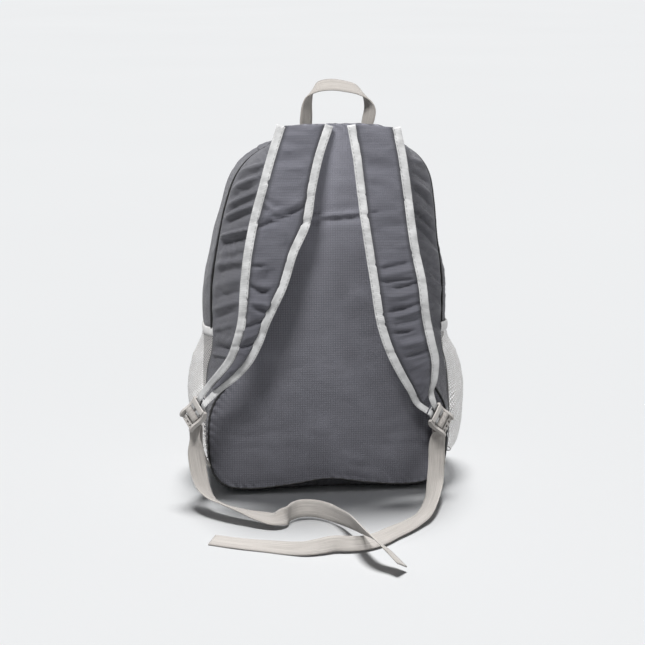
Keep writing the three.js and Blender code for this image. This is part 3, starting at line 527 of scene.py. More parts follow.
# One column a place on the right half of the outlines, from the bottom centre up and over to the top centre
outlineTable = {
    "backX": (0, 0.3, 0.59, 0.78, 0.885, 0.945, 0.953, 0.9, 0.78, 0.68, 0.625, 0.585, 0.56, 0.54, 0.515, 0.46,
              0.35, 0),
    "backZ": (0.036, 0.023, 0.014, 0.02, 0.042, 0.09, 0.2, 0.262, 0.315, 0.375, 0.45, 0.56, 0.68, 0.79, 0.885,
              0.955, 0.99, 0.996),
    "crownX": (0, 0.3, 0.59, 0.79, 0.925, 0.985, 0.998, 1, 0.998, 0.985, 0.992, 0.975, 0.895, 0.838, 0.765,
               0.625, 0.4, 0),
    "crownZ": (0, 0, 0, 0, 0.026, 0.078, 0.2, 0.262, 0.315, 0.375, 0.45, 0.555, 0.675, 0.775, 0.855, 0.908,
               0.935, 0.942),
    "depth": (0.93, 0.94, 0.96, 0.98, 1, 1, 1, 1, 1, 1, 1, 0.99, 0.95, 0.88, 0.82, 0.78, 0.76, 0.75),
    "turn": (0.16, 0.16, 0.16, 0.2, 0.35, 0.5, 0.54, 0.54, 0.54, 0.54, 0.54, 0.5, 0.44, 0.42, 0.42, 0.44, 0.48,
             0.5),
}
lastRow, cornerRow, hemRow, shoulderRow, pipingRow = 17, 3.5, 9.55, 15.2, 14
panelCornerRow, panelShoulderRow = 4, 15.5


@lru_cache(maxsize=None)
def outline(name, row):
    odd = -1 if name.endswith("X") else 1
    column = outlineTable[name]
    place = min(abs(row), lastRow)
    index = min(int(place), lastRow - 1)
    part = place - index

    def at(k):
        if k < 0:
            return odd * column[-k]
        return column[k] if k <= lastRow else odd * column[2 * lastRow - k]

    a, b, c, d = at(index - 1), at(index), at(index + 1), at(index + 2)
    value = 0.5 * (2 * b + (c - a) * part + (2 * a - 5 * b + 4 * c - d) * part ** 2
                   + (d - a + 3 * b - 3 * c) * part ** 3)
    return odd * value if row < 0 else value


@lru_cache(maxsize=None)
def crownLine(row):
    return Vector((outline("crownX", row) * bag["halfWidth"], outline("crownZ", row) * bag["height"]))


# share runs from the seam of the back panel, 0, to the seam of the front panel, 1
def bagPoint(row, share):
    depth = bag["depth"] * outline("depth", row)
    turn = outline("turn", row)
    rise = sin(pi / 2 * share / turn) if share < turn else 1
    back = Vector((outline("backX", row) * bag["halfWidth"], outline("backZ", row) * bag["height"]))
    point = back.lerp(crownLine(row), rise)
    along = (crownLine(row + 0.02) - crownLine(row - 0.02)).normalized()
    roundShare = bag["frontRoundDepth"] / depth
    fall = max(0, (share - 1 + roundShare) / roundShare)
    inset = bag["frontRound"] * (1 - cos(pi / 2 * fall))
    point += Vector((-along.y, along.x)) * inset
    lean = bag["topLean"] * smoothStep(0.65, 1, point.y / bag["height"])
    return Vector((point.x + lean - bag["backSkew"] * (1 - rise), depth * share, max(0, point.y)))


def bagNormal(row, share):
    low, high = max(0, share - 0.01), min(1, share + 0.01)
    along = bagPoint(min(lastRow, row + 0.02), share) - bagPoint(max(-lastRow, row - 0.02), share)
    across = bagPoint(row, high) - bagPoint(row, low)
    return across.cross(along).normalized()


def inwardOf(row):
    along = bagPoint(min(lastRow, row + 0.02), 0) - bagPoint(max(-lastRow, row - 0.02), 0)
    return Vector((-along.z, 0, along.x)).normalized()


bagMiddle = Vector((0, 70, 200))


crumpleSeed = 1795860899
noise.seed_set(crumpleSeed)  # unseeded, noise_vector starts from the clock and differs from run to run


# Fine crumpling of thin nylon: sharp small folds, longest along `stretch`
def crumple(point, size, stretch=(1, 1, 1), seed=0.0):
    at = Vector((point.x / stretch[0], point.y / stretch[1], point.z / stretch[2])) / size
    at += Vector((seed, seed * 0.7, -seed))
    bend = noise.noise_vector(at * 0.5) * 0.7
    return 1 - 2 * abs(noise.noise(at + bend)) + 0.4 * noise.noise(at * 2.3)


# A fold runs from one point of a chart to another: width and depth in mm, and a negative depth is a ridge
def foldPush(folds, a, b):
    push = 0
    for startA, startB, endA, endB, width, depth in folds:
        runA, runB = endA - startA, endB - startB
        run = hypot(runA, runB)
        along = ((a - startA) * runA + (b - startB) * runB) / run ** 2
        if along < -0.3 or along > 1.3:
            continue
        off = ((b - startB) * runA - (a - startA) * runB) / run
        if abs(off) > 3 * width:
            continue
        fade = smoothStep(-0.25, 0.15, along) * (1 - smoothStep(0.85, 1.25, along))
        push -= depth * fade * exp(-((off / width) ** 2))
    return push


backFolds = [  # x, z to x, z, width, depth
    (-44, 330, -20, 336.5, 1.5, 1.6), (-24, 336, 30, 339.5, 1.2, 2.8), (-26, 330, 32, 333, 4, -2.2),
    (-26, 343, 30, 346, 5, -1.2), (98, 128, 117, 84, 4, 4.5), (86, 122, 111, 76, 6, -2.4),
    (108, 132, 126, 96, 6, -1.6), (-150, 178, -60, 166, 16, 1.6), (-110, 152, -40, 150, 14, -1),
    (-136, 96, -100, 110, 8, 1.6), (112, 92, 114, 60, 5, 3.2), (20, 240, 60, 226, 12, 1),
]


backCloth = {"swellUp": 1.25, "gather": 0.9, "gatherReach": 9, "crumple": 0.55, "crumpleSize": 26}


# Rows along a strip, also over the top from the left shoulder to the right
def stripRow(u, low, high):
    if low > high:
        place = mix(-(lastRow - high), lastRow - high, u)
        return -(lastRow + place) if place < 0 else lastRow - place
    return mix(low, high, u)


# A panel stretched between its four seams
def stretchedPoint(edge, u, v):
    corner, shoulder = panelCornerRow, panelShoulderRow
    bottom, top = edge(mix(-corner, corner, u)), edge(stripRow(u, lastRow, shoulder))
    left, right = edge(-mix(corner, shoulder, v)), edge(mix(corner, shoulder, v))
    point = bottom * (1 - v) + top * v + left * (1 - u) + right * u
    point -= edge(-corner) * ((1 - u) * (1 - v)) + edge(corner) * (u * (1 - v))
    return point - (edge(-shoulder) * ((1 - u) * v) + edge(shoulder) * (u * v))


def backPoint(u, v):
    point = stretchedPoint(lambda row: bagPoint(row, 0) + inwardOf(row) * 0.5, u, v)
    swell = 4 * u * (1 - u) * sin(pi * min(1, backCloth["swellUp"] * v + 0.02))
    point.y -= bag["backBulge"] * max(0, swell)
    away = min(u * 190, (1 - u) * 190, v * 420, (1 - v) * 420)
    ripple = sin(point.x * 0.62 + point.z * 0.5 + 3 * noise.noise(point * 0.05))
    gather = exp(-away / backCloth["gatherReach"]) * backCloth["gather"] * ripple
    crumpled = backCloth["crumple"] * crumple(point, backCloth["crumpleSize"], (1.6, 1, 1))
    point.y += gather * min(1, away / 2) + crumpled * min(1, away / 12)
    return point


def makeBackPanel():
    bm = clothGrid(110, 300, backPoint, (280, 420))
    faceAwayFrom(bm, bagMiddle)
    mapCloth(bm, lambda at, u, v: (at.x, at.z))  # cut from flat goods, so its grid stays straight
    pressCloth(bm, lambda p: foldPush(backFolds, p.x, p.z))
    thicken(finishPiece(bm, "backPanel", "ripstop", ["back_panel"]), bag["wall"])


makeBackPanel()
print("back panel is made")


# How far from the back to the front seam the cloth meets the zip, on the zip's back or front side
def zipShare(row, side):
    depth = bag["depth"] * outline("depth", row)
    apart = mix(0.1, bag["zipWidth"] / 2, smoothStep(hemRow - 0.15, hemRow + 0.15, abs(row)))
    return (bag["zipSeat"] * outline("depth", row) + side * apart) / depth


# A panel that wraps round from one seam or side of the zip to the next
def makeStrip(name, node, cells, rows, shares, span, push):
    def place(u, v):
        row = stripRow(u, *rows)
        return bagPoint(row, mix(shares[0](row), shares[1](row), v))

    bm = clothGrid(*cells, place, span)
    faceAwayFrom(bm, bagMiddle)
    pressCloth(bm, push)
    return thicken(finishPiece(bm, name, "cloth", [node]), bag["wall"])


sideFolds = {  # y, z to y, z, width, depth, of the cloth between the back seam and the zip
    "left": [
        (47, 388, 6, 396, 3.5, 3), (46, 378, 8, 388, 5, -3), (46, 366, 8, 382, 3.4, 4.4),
        (46, 357, 8, 372, 5, -3.4), (48, 347, 8, 364, 3, 4.4), (48, 339, 8, 356, 4.6, -3.4),
        (48, 333, 8, 349, 3, 4.8), (48, 326, 8, 340, 5, -4.4), (48, 312, 6, 321, 2.6, 8.5),
        (48, 303, 6, 313, 6, -4.6), (50, 292, 10, 298, 4, 2), (50, 279, 14, 284, 4.4, 4),
        (50, 270, 14, 274, 6, -3), (50, 252, 12, 262, 7, 3), (50, 238, 16, 246, 5, -2.6),
        (52, 224, 16, 234, 4, 4), (52, 212, 20, 222, 5, -3.4), (50, 200, 22, 206, 4, 3),
        (46, 171, 14, 168, 2.4, 4.4), (46, 179, 14, 176, 5, -3), (40, 190, 18, 186, 6, 2),
    ],
    "right": [
        (18, 398, 44, 384, 4, 3), (14, 384, 44, 362, 4, -2.6), (14, 372, 42, 344, 3.4, 3.6),
        (14, 366, 42, 336, 4, -3.6), (12, 346, 40, 318, 3, 4), (12, 338, 46, 306, 4.4, -4),
        (14, 330, 48, 294, 3, 3.4), (14, 324, 48, 286, 4, -3.6), (14, 306, 48, 274, 5, 4),
        (16, 284, 49, 256, 4, -3.4), (20, 276, 49, 243, 4, -3), (16, 262, 50, 234, 3, 5.5),
        (16, 250, 50, 222, 5, -3.4), (18, 232, 50, 208, 4, 3.4), (20, 216, 50, 194, 6, -2.6),
        (20, 200, 50, 180, 4, 3),
    ],
}


# How far back the zip runs at a height, as it comes forward towards the top
def zipPlace(z):
    return bag["zipSeat"] * mix(1, 0.77, smoothStep(0.5, 0.92, z / bag["height"]))


sideCloth = {"foldWidth": 0.75, "crumple": 1.3, "crumpleSize": 17, "gather": 0.7, "gatherReach": 8}
sideFoldDepth = {"left": 0.9, "right": 1.3}
sideFoldLean = {"left": 0.2, "right": 0}
sideSeeds = {"left": 3.1, "right": 8.4}


def sidePush(side):
    folds = [(*fold[:4], fold[4] * sideCloth["foldWidth"], fold[5]) for fold in sideFolds[side]]

    def push(p):
        seam = min(1, abs(p.y) / 5 + 0.15) * smoothStep(1, 13, zipPlace(p.z) - p.y)
        crumpled = sideCloth["crumple"] * crumple(p, sideCloth["crumpleSize"], (1, 2.2, 1), sideSeeds[side])
        ripple = sin(p.z * 0.75 + p.x * 0.6 + 4 * noise.noise(p * 0.06))
        gather = exp(-abs(p.y) / sideCloth["gatherReach"]) * sideCloth["gather"] * ripple
        folded = sideFoldDepth[side] * foldPush(folds, p.y, p.z + sideFoldLean[side] * (p.y - 8))
        return (folded + crumpled) * seam + gather

    return push


def bottomPush(p):
    gather = exp(-abs(p.y) / 10) * 1.1 * sin(p.x * 0.7 + 5 * noise.noise(p * 0.04))
    lift = 1 if p.z > 4 else 0.25
    return gather * min(1, p.y / 1.5) * lift + (0.5 * crumple(p, 18, (1, 1.5, 1), 5) if p.z > 4 else 0)


# Crumpled, and filled out a little behind the pockets
def plainPush(p):
    fullness = exp(-(((p.z - 122) / 42) ** 2) - ((p.y - 78) / 34) ** 2)
    fine = 1.2 * crumple(p, 12, (1, 1.6, 1), 4) * (1 - smoothStep(60, 110, p.y))
    return 1.1 * crumple(p, 30, (1, 1.4, 1.6), 11) + fine + (6 if p.x > 0 else 3) * fullness


for side, sign in (("left", -1), ("right", 1)):
    rows = (sign * cornerRow, sign * shoulderRow) if sign > 0 else (-shoulderRow, -cornerRow)
    makeStrip(f"{side}SidePanel", f"side_panel_{side}", (300, 36), rows,
              (lambda row: 0, lambda row: zipShare(row, -1)), (480, 60), sidePush(side))
    makeStrip(f"{side}FrontSide", f"front_side_{side}", (160, 44), rows,
              (lambda row: zipShare(row, 1), lambda row: 1), (480, 110), plainPush)
makeStrip("bottomPanel", "bottom_panel", (260, 60), (-cornerRow, cornerRow),
          (lambda row: 0, lambda row: 1), (270, 150), bottomPush)
makeStrip("topPanel", "top_panel", (110, 30), (lastRow, shoulderRow),
          (lambda row: 0, lambda row: zipShare(row, -1)), (150, 50),
          lambda p: 0.7 * crumple(p, 16, (1, 1.5, 1), 7))
makeStrip("frontTop", "front_top", (110, 40), (lastRow, shoulderRow),
          (lambda row: zipShare(row, 1), lambda row: 1), (150, 90), plainPush)


def frontPoint(u, v):
    point = stretchedPoint(lambda row: bagPoint(row, 1), u, v)
    point.y += bag["frontBulge"] * 4 * u * (1 - u) * sin(pi * v)
    away = min(1, 12 * u, 12 * (1 - u), 16 * v, 16 * (1 - v))
    point.y += 1.3 * crumple(point, 34, (1, 1, 1.5), 13) * away
    return point


def makeFrontPanel():
    bm = clothGrid(90, 120, frontPoint, (250, 390))
    faceAwayFrom(bm, bagMiddle)
    thicken(finishPiece(bm, "frontPanel", "cloth", ["front_panel"]), bag["wall"])


makeFrontPanel()
print("panels are made")


def zipPoint(u, v):
    row = stripRow(u, lastRow, hemRow + 0.2)
    share = mix(zipShare(row, -1), zipShare(row, 1), v)
    return bagPoint(row, share) + bagNormal(row, share) * (0.25 - 0.5 * abs(v - 0.5))


zipTeeth = {"count": 430, "stagger": 0.45, "rise": 0.75, "size": (1.3, 2.6, 1.2)}


def makeZip():
    bm = clothGrid(300, 6, zipPoint, (900, 7))
    faceAwayFrom(bm, bagMiddle)
    thicken(finishPiece(bm, "zipTape", "zip", ["zip"]), 1)
    teeth = bmesh.new()
    uvMap = teeth.loops.layers.uv.new("cloth")
    for k in range(zipTeeth["count"]):
        u = (k + 0.5) / zipTeeth["count"]
        row = stripRow(u, lastRow, hemRow + 0.2)
        share = mix(zipShare(row, -1), zipShare(row, 1), 0.5)
        normal = bagNormal(row, share)
        across = Vector((0, 1, 0))
        along = across.cross(normal).normalized()
        across = normal.cross(along)
        offset = zipTeeth["stagger"] if k % 2 else -zipTeeth["stagger"]
        at = bagPoint(row, share) + normal * zipTeeth["rise"] + across * offset
        size = Matrix.Diagonal((*zipTeeth["size"], 1))
        axes = Matrix((along, across, normal)).transposed().to_4x4()
        made = bmesh.ops.create_cube(teeth, size=1, matrix=Matrix.Translation(at) @ axes @ size)
        for face in {f for vert in made["verts"] for f in vert.link_faces}:
            for loop in face.loops:
                loop[uvMap].uv = (k * 0.0022, 0)
    finishPiece(teeth, "zipTeeth", "zip", smooth=False)


slider = {"length": 11, "width": 8, "thickness": 3, "pullLength": 24, "pullWidth": 6, "pullThickness": 1.6}


def makeSlider():
    seat = bagPoint(lastRow, bag["zipSeat"] / bag["depth"])
    normal = bagNormal(lastRow, bag["zipSeat"] / bag["depth"])
    x = Vector((1, 0, 0))
    axes = Matrix((x, normal.cross(x), normal)).transposed().to_4x4()
    bm = bmesh.new()
    bm.loops.layers.uv.new("cloth")
    parts = [
        ((slider["length"], slider["width"], slider["thickness"]), (0, 0, slider["thickness"] / 2 + 0.7)),
        ((slider["pullLength"], slider["pullWidth"], slider["pullThickness"]),
         (slider["pullLength"] / 2 - 2, 0, slider["thickness"] + 1.4)),
    ]
    for size, at in parts:
        place = Matrix.Translation(seat) @ axes @ Matrix.Translation(at) @ Matrix.Diagonal((*size, 1))
        bmesh.ops.create_cube(bm, size=1, matrix=place)
    bmesh.ops.bevel(bm, geom=bm.edges[:], offset=0.6, affect="EDGES", segments=3, profile=0.5, material=-1)
    finishPiece(bm, "zipSlider", "zip", ["zip_slider"])


makeZip()
makeSlider()


piping = {"radius": 1.25, "ripple": 0.14}


# Dark piping along the seam of the back panel
def makePiping():
    rows = [mix(-pipingRow, pipingRow, k / 112) for k in range(113)]
    line = [bagPoint(row, 0) + inwardOf(row) * 0.3 - Vector((0, 1.2, 0)) for row in rows]

    def place(t, around):
        at = curvePoint(line, t)
        along = (curvePoint(line, t + 0.002) - curvePoint(line, t - 0.002)).normalized()
        side = along.cross(Vector((0, 1, 0))).normalized()
        turn = 2 * pi * (round(around * 10) % 10) / 10
        radius = piping["radius"] + piping["ripple"] * sin(t * 700)
        return at + side * (radius * cos(turn)) + along.cross(side) * (radius * sin(turn))

    bm = clothGrid(700, 10, place, (1150, 8))
    closeTube(bm)
    finishPiece(bm, "piping", "piping", ["piping"])


makePiping()
print("zip and piping are made")


pocket = {
    "bulge": {"left": 18, "right": 23}, "mouth": 2, "gap": 0.35, "hemWidth": 11, "hemWall": 1.2,
    "lowBack": 5.1, "lowFront": 4.5, "backShare": 0.05, "hemShare": 0.313, "hemDrop": 0.34,
}
pocketHeights = (0, 0.06, 0.15, 0.3, 0.42, 0.6, 0.75, 0.87, 0.95, 1)
pocketStands = (0.3, 0.62, 0.84, 0.97, 1, 0.88, 0.66, 0.37, 0.13, 0.03)


def pocketStand(side, v):
    index = 0
    while index < len(pocketHeights) - 2 and pocketHeights[index + 1] < v:
        index += 1
    low, high = pocketHeights[index], pocketHeights[index + 1]
    t = min(1, max(0, (v - low) / (high - low)))
    eased = t * t * (3 - 2 * t) * 0.3 + t * 0.7
    return pocket["bulge"][side] * mix(pocketStands[index], pocketStands[index + 1], eased)


def pocketPoint(side, u, v):
    sign = -1 if side == "left" else 1
    row = sign * mix(mix(pocket["lowBack"], pocket["lowFront"], u), hemRow - pocket["hemDrop"] * u, v)
    backShare = mix(pocket["backShare"], pocket["hemShare"], smoothStep(-0.15, 0.75, v))
    backShare += 0.05 * sin(pi * v) ** 2
    share = mix(backShare, 1 - pocket["gap"] / bag["depth"], u)
    body = pocketStand(side, v) * sin(pi * u) ** 0.6 if 0 < u < 1 else 0
    mouth = pocket["mouth"] * exp(-(((u - 0.84) / 0.1) ** 2)) * smoothStep(0.55, 1, v)
    away = pocket["gap"] + body + mouth
    normal = bagNormal(row, share)
    return bagPoint(row, share) + normal * away, normal


def makePocket(side):
    def place(u, v):
        point, normal = pocketPoint(side, u, v)
        inner = min(1, 6 * u, 6 * (1 - u), 8 * v, 5 * (1 - v))
        return point + normal * (0.9 + 0.8 * crumple(point, 20, (1, 1, 1.6), 17) * inner)

    bm = clothGrid(70, 90, place, (125, 130))
    faceAwayFrom(bm, bagMiddle)
    netPiece = finishPiece(bm, f"{side}PocketMesh", "mesh", [f"mesh_pocket_{side}"])

    def hemPlace(u, v):
        point, normal = pocketPoint(side, u, 1)
        gather = 0.5 * sin(u * 150) * (0.3 + 0.7 * v)
        out = 0.2 + gather * 0.5 + (1.1 * sin(pi * v) ** 0.5 if 0 < v < 1 else 0)
        return point + Vector((0, 0, 0.2 + pocket["hemWidth"] * v)) + normal * out

    bm = clothGrid(160, 12, hemPlace, (120, pocket["hemWidth"]))
    faceAwayFrom(bm, bagMiddle)
    hem = thicken(finishPiece(bm, f"{side}PocketHem", "hem", [f"pocket_hem_{side}"]), pocket["hemWall"])


for side in ("left", "right"):
    makePocket(side)
print("pockets are made")


strap = {"thickness": 7, "taper": 0.22, "tape": 10, "tapeWall": 1.7, "gap": 0.35, "folds": 2.2, "turns": 32}
strapSeeds = {"left": 21, "right": 25}
strapFront = {"left": 1, "right": -1}  # the right strap's band looks into the bag
strapTable = {  # outer x, outer z, inner x, inner z in shares of the half width and height, and lift
    "left": [
        (-0.4, 0.993, -0.033, 0.993, 0.1), (-0.478, 0.917, -0.113, 0.917, 0.26),
        (-0.55, 0.836, -0.173, 0.836, 0.43), (-0.62, 0.755, -0.222, 0.746, 0.6),
        (-0.672, 0.674, -0.327, 0.67, 0.76), (-0.705, 0.589, -0.407, 0.589, 0.9),
        (-0.727, 0.5, -0.54, 0.495, 0.98), (-0.765, 0.447, -0.607, 0.436, 0.98),
        (-0.82, 0.397, -0.693, 0.382, 0.93), (-0.918, 0.353, -0.805, 0.341, 0.87),
        (-0.995, 0.321, -0.91, 0.312, 0.83),
    ],
    "right": [
        (0.487, 0.985, 0.137, 0.993, 0.1), (0.527, 0.912, 0.177, 0.912, 0.28),
        (0.557, 0.835, 0.2, 0.84, 0.43), (0.583, 0.757, 0.228, 0.757, 0.6),
        (0.617, 0.672, 0.262, 0.674, 0.75), (0.668, 0.589, 0.297, 0.594, 0.9),
        (0.7, 0.499, 0.347, 0.486, 0.99), (0.74, 0.436, 0.418, 0.411, 0.98), (0.78, 0.38, 0.508, 0.348, 0.92),
        (0.778, 0.325, 0.595, 0.296, 0.82), (0.758, 0.29, 0.655, 0.257, 0.76),
    ],
}
strapFolds = {  # x, z to x, z, width, depth
    "left": [
        (-92, 326, -36, 350, 2.2, 2.6), (-90, 337, -34, 359, 5, -1.6), (-84, 364, -66, 350, 2, 2),
        (-82, 356, -70, 342, 2, -1.6), (-80, 349, -68, 340, 1.8, 1.8), (-97, 284, -84, 284, 2.5, 2),
        (-99, 262, -82, 252, 3.4, 3), (-82, 282, -80, 256, 2.6, 2.6), (-98, 244, -74, 238, 3, -1.6),
        (-92, 236, -66, 226, 2.6, 2), (-106, 214, -84, 222, 3, 2.2), (-112, 200, -90, 208, 3.4, -1.6),
        (-112, 190, -94, 196, 2.6, 2.4), (-70, 400, -30, 410, 7, 1.6), (-60, 310, -50, 296, 6, 1.4),
    ],
    "right": [
        (42, 342, 50, 343, 1.8, 2), (54, 279, 84, 285, 2.2, 1.8), (54, 271, 90, 277, 3.4, -1.6),
        (54, 264, 86, 266, 2, 2.2), (69, 256, 97, 262, 2, 2.2), (64, 246, 98, 252, 4, -1.8),
        (64, 229, 98, 238, 2, 2.4), (70, 223, 98, 231, 2, -1.8), (70, 214, 96, 219, 3, 1.6),
        (70, 204, 86, 206, 2, 2), (76, 190, 106, 196, 4, -1.8), (84, 176, 110, 182, 3, 2),
        (30, 400, 70, 392, 7, 1.4), (40, 320, 90, 330, 7, 1.2),
    ],
}


def tapeMiddle(row, edge):
    x, z = (row[0], row[1]) if edge == "outer" else (row[2], row[3])
    return Vector((x * bag["halfWidth"], -strapLift * row[4], z * bag["height"]))


# Draws a round section out towards a flat one
def squared(value, power):
    return copysign(abs(value) ** power, value)


def makeStrap(side):
    rows = strapTable[side]
    at = [tapeMiddle(row, "outer").lerp(tapeMiddle(row, "inner"), 0.5) for row in rows]
    across = [tapeMiddle(row, "inner") - tapeMiddle(row, "outer") for row in rows]
    widths = []
    for k, way in enumerate(across):
        along = (at[min(k + 1, len(at) - 1)] - at[max(k - 1, 0)]).normalized()
        slant = way.cross(along).length / way.length
        width = way.length - (strap["tape"] - 3) / slant
        widths.append(width * (1 - strap["taper"] * 0.4 * smoothStep(0.6, 1, k / (len(at) - 1))))
    band = {"at": at, "across": [way.normalized() for way in across], "sheared": True}
    turns, front, seed = strap["turns"], strapFront[side], strapSeeds[side]

    def place(t, around):
        middle, way, face = bandFrame(band, t)
        turn = 2 * pi * (round(around * turns) % turns) / turns
        wide = squared(cos(turn), 0.6)
        thick = squared(sin(turn), 0.8)
        point = middle + way * (wide * rowValue(widths, t) / 2)
        seen = thick * front > 0
        body = strap["thickness"] / 2 * thick * (1 if seen else 0.7)
        inner = max(0, 1 - wide * wide)
        crumpled = 2.3 * crumple(point, 19, (1.7, 1, 1), seed) + 0.8 * crumple(point, 8, (1.5, 1, 1), seed)
        push = strap["folds"] * foldPush(strapFolds[side], point.x, point.z) * inner ** 0.5
        return point + face * (body + (front * (crumpled * inner + push) if seen else 0))

    length = bandLength(band)
    bm = clothGrid(230, turns, place, (length, 1))
    mapCloth(bm, lambda at, u, v: (u, squared(cos(2 * pi * (round(v * turns) % turns) / turns), 0.6) * 28))
    closeTube(bm)
    piece = finishPiece(bm, f"{side}Strap", "strap", [f"strap_{side}"])
    for edge in ("outer", "inner"):
        makeTape(side, edge)


tapeKinks = {  # height of each kink and its depth
    ("left", "outer"): [(379, 1.6), (334, 2.2), (268, 1), (246, 1.2), (226, 0.9), (208, 1), (192, 1)],
    ("left", "inner"): [(362, 1), (333, 2.8), (300, 0.7), (262, 0.8), (236, 1), (206, 1)],
    ("right", "outer"): [(390, 0.8), (356, 1), (296, 0.8), (262, 1), (232, 1), (206, 1)],
    ("right", "inner"): [(364, 1), (340, 1.8), (284, 1), (252, 1), (226, 1), (214, 1.2), (180, 0.8)],
}


# The tapes run on behind the buckle's front plate and round the bar under it
def makeTape(side, edge):
    rows = strapTable[side]
    at = [tapeMiddle(row, edge) for row in rows]
    across = [(tapeMiddle(row, "inner") - tapeMiddle(row, "outer")).normalized() for row in rows]
    x = (1 if edge == "outer" else -1) * (strap["tape"] / 2 + strap["gap"])
    turn = -buckleAxes(side)[1]
    for y, z in ((-22, 2.6), (-18.4, 1.4), (-15, -0.4), (-12, 0.6), (-9.4, 2.8), (-6.8, 2.9), (-5.2, 1.1),
                 (-6.2, -1.2), (-9, -2.4), (-13, -2.8)):
        at.append(onBuckle(side, x, y, z))
        across.append(turn)
    widths = [strap["tape"]] * 8 + [9.6, 8.4] + [7.4] * 11
    band = {"at": at, "across": across, "width": strap["tape"], "widths": widths,
            "thickness": strap["tapeWall"]}
    seed = {"left": 2, "right": 9}[side] + (4 if edge == "inner" else 0)
    front = strapFront[side]
    kinks = tapeKinks[side, edge]

    def lift(t, w):
        calm = 1 - smoothStep(0.44, 0.52, t)
        z = curvePoint(at, t).z
        ripple = 0.75 * noise.noise(Vector((z / 7, seed, w * 0.4)))
        ripple += 0.5 * noise.noise(Vector((z / 19, seed + 5, 0)))
        fold = sum(depth * exp(-(((z - height - 1.5 * w) / 1.9) ** 2)) for height, depth in kinks)
        return (ripple + 0.5 * w * w - fold + 0.9) * calm * front

    bm = webbingBand(band, 320, lift)
    finishPiece(bm, f"{side}{edge.title()}Tape", "trim", [f"strap_trim_{side}_{edge}"])


# The end of the padding shows between the tapes as a thin pale edge with dark cloth below it
def makeStrapEnd(side):
    at = [onBuckle(side, x, -23.5 + 0.04 * x * x, 1.2) for x in (-7.5, -4, 0, 4, 7.5)]
    band = {"at": at, "across": [buckleAxes(side)[2]] * 5, "width": 1.9, "thickness": 1.2}
    finishPiece(webbingBand(band, 24), f"{side}StrapEnd", "trim")
    at = [onBuckle(side, 0, y, z) for y, z in ((-26, 0.6), (-22, 0.2), (-18, -0.6), (-14, -1.6))]
    band = {"at": at, "across": [buckleAxes(side)[1]] * 4, "width": 17, "thickness": 1.2}
    finishPiece(webbingBand(band, 24), f"{side}StrapTongue", "strap")


for side in ("left", "right"):
    makeStrap(side)
    makeStrapEnd(side)
print("straps are made")


def turnToBuckle(bm, side):
    origin, x, y, z = buckleAxes(side)
    axes = Matrix((x, y, z)).transposed().to_4x4()
    bmesh.ops.transform(bm, matrix=Matrix.Translation(origin) @ axes, verts=bm.verts)
    bmesh.ops.recalc_face_normals(bm, faces=bm.faces)


def addCheek(bm, fromX):
    made = bmesh.ops.create_grid(bm, x_segments=20, y_segments=2, size=0.5)
    for vert in made["verts"]:
        t, s = vert.co.x + 0.5, vert.co.y
        wave = -buckle["wave"] * sin(2 * pi * (t - 0.08))
        tall = buckle["wall"] * sin(pi * (0.1 + 0.8 * t)) ** 0.6
        vert.co = Vector((fromX, (t - 0.5) * buckle["length"], wave + s * tall))
    faces = list(dict.fromkeys(face for vert in made["verts"] for face in vert.link_faces))
    grown = bmesh.ops.extrude_face_region(bm, geom=faces)
    moved = [item for item in grown["geom"] if isinstance(item, bmesh.types.BMVert)]
    bmesh.ops.translate(bm, vec=(buckle["cheek"], 0, 0), verts=moved)


def addBar(bm, y, z, length, depth):
    wide = buckle["slot"] + 1.6
    turn = Matrix.Rotation(pi / 2, 4, "Y")
    place = Matrix.Translation((0, y, z)) @ Matrix.Diagonal((1, length, depth, 1)) @ turn
    bmesh.ops.create_cone(bm, segments=20, radius1=0.5, radius2=0.5, depth=wide, cap_ends=True, matrix=place)


# A flat plate between the cheeks, with a row of small slots where it has any
def addPlate(bm, fromY, toY, z, wall, slots=0, arch=0.0):
    columns = 2 * slots + 1 if slots else 8
    made = bmesh.ops.create_grid(bm, x_segments=columns, y_segments=3, size=0.5)
    wide = buckle["slot"] + 1.6
    for vert in made["verts"]:
        s, t = vert.co.x, vert.co.y + 0.5
        t = (0, 0.3, 0.72, 1)[round(t * 3)]
        vert.co = Vector((s * wide, mix(fromY, toY, t), z + arch * (1 - 4 * s * s)))
    faces = sorted({face for vert in made["verts"] for face in vert.link_faces},
                   key=lambda f: (round(f.calc_center_median().y, 3), f.calc_center_median().x))
    if slots:
        middle = faces[columns:2 * columns]
        bmesh.ops.delete(bm, geom=[middle[2 * k + 1] for k in range(slots)], context="FACES_ONLY")
        faces = [face for face in faces if face.is_valid]
    grown = bmesh.ops.extrude_face_region(bm, geom=faces)
    moved = [item for item in grown["geom"] if isinstance(item, bmesh.types.BMVert)]
    bmesh.ops.translate(bm, vec=(0, 0, wall), verts=moved)


def makeBuckle(side):
    bm = bmesh.new()
    bm.loops.layers.uv.new("cloth")
    addCheek(bm, -buckle["slot"] / 2 - buckle["cheek"])
    addCheek(bm, buckle["slot"] / 2)
    addPlate(bm, -16.6, -10.4, 2.2, 2, arch=0.5)
    addBar(bm, -7.4, 0.6, 2.4, 2.4)
    addBar(bm, 0.4, 0, 3.2, 3.2)
    addPlate(bm, 9.8, 16.2, -1.4, 2.4, slots=3)
    bmesh.ops.remove_doubles(bm, verts=bm.verts, dist=0.0001)
    turnToBuckle(bm, side)
    piece = finishPiece(bm, f"{side}Buckle", "plastic", [f"buckle_{side}"], smooth=False)
    edges = piece.modifiers.new("edges", "BEVEL")
    edges.width = 0.0005
    edges.segments = 2
    edges.limit_method = "ANGLE"
    edges.angle_limit = radians(40)
    edges.harden_normals = True


anchors = {  # the sewn end, a point above it and the middle of the way up
    "left": ((-145.5, 12, 30), (-153, 4, 44), (-160, -5, 66)),
    "right": ((137, 1, 36), (131, -4, 48), (126, -7, 62)),
}


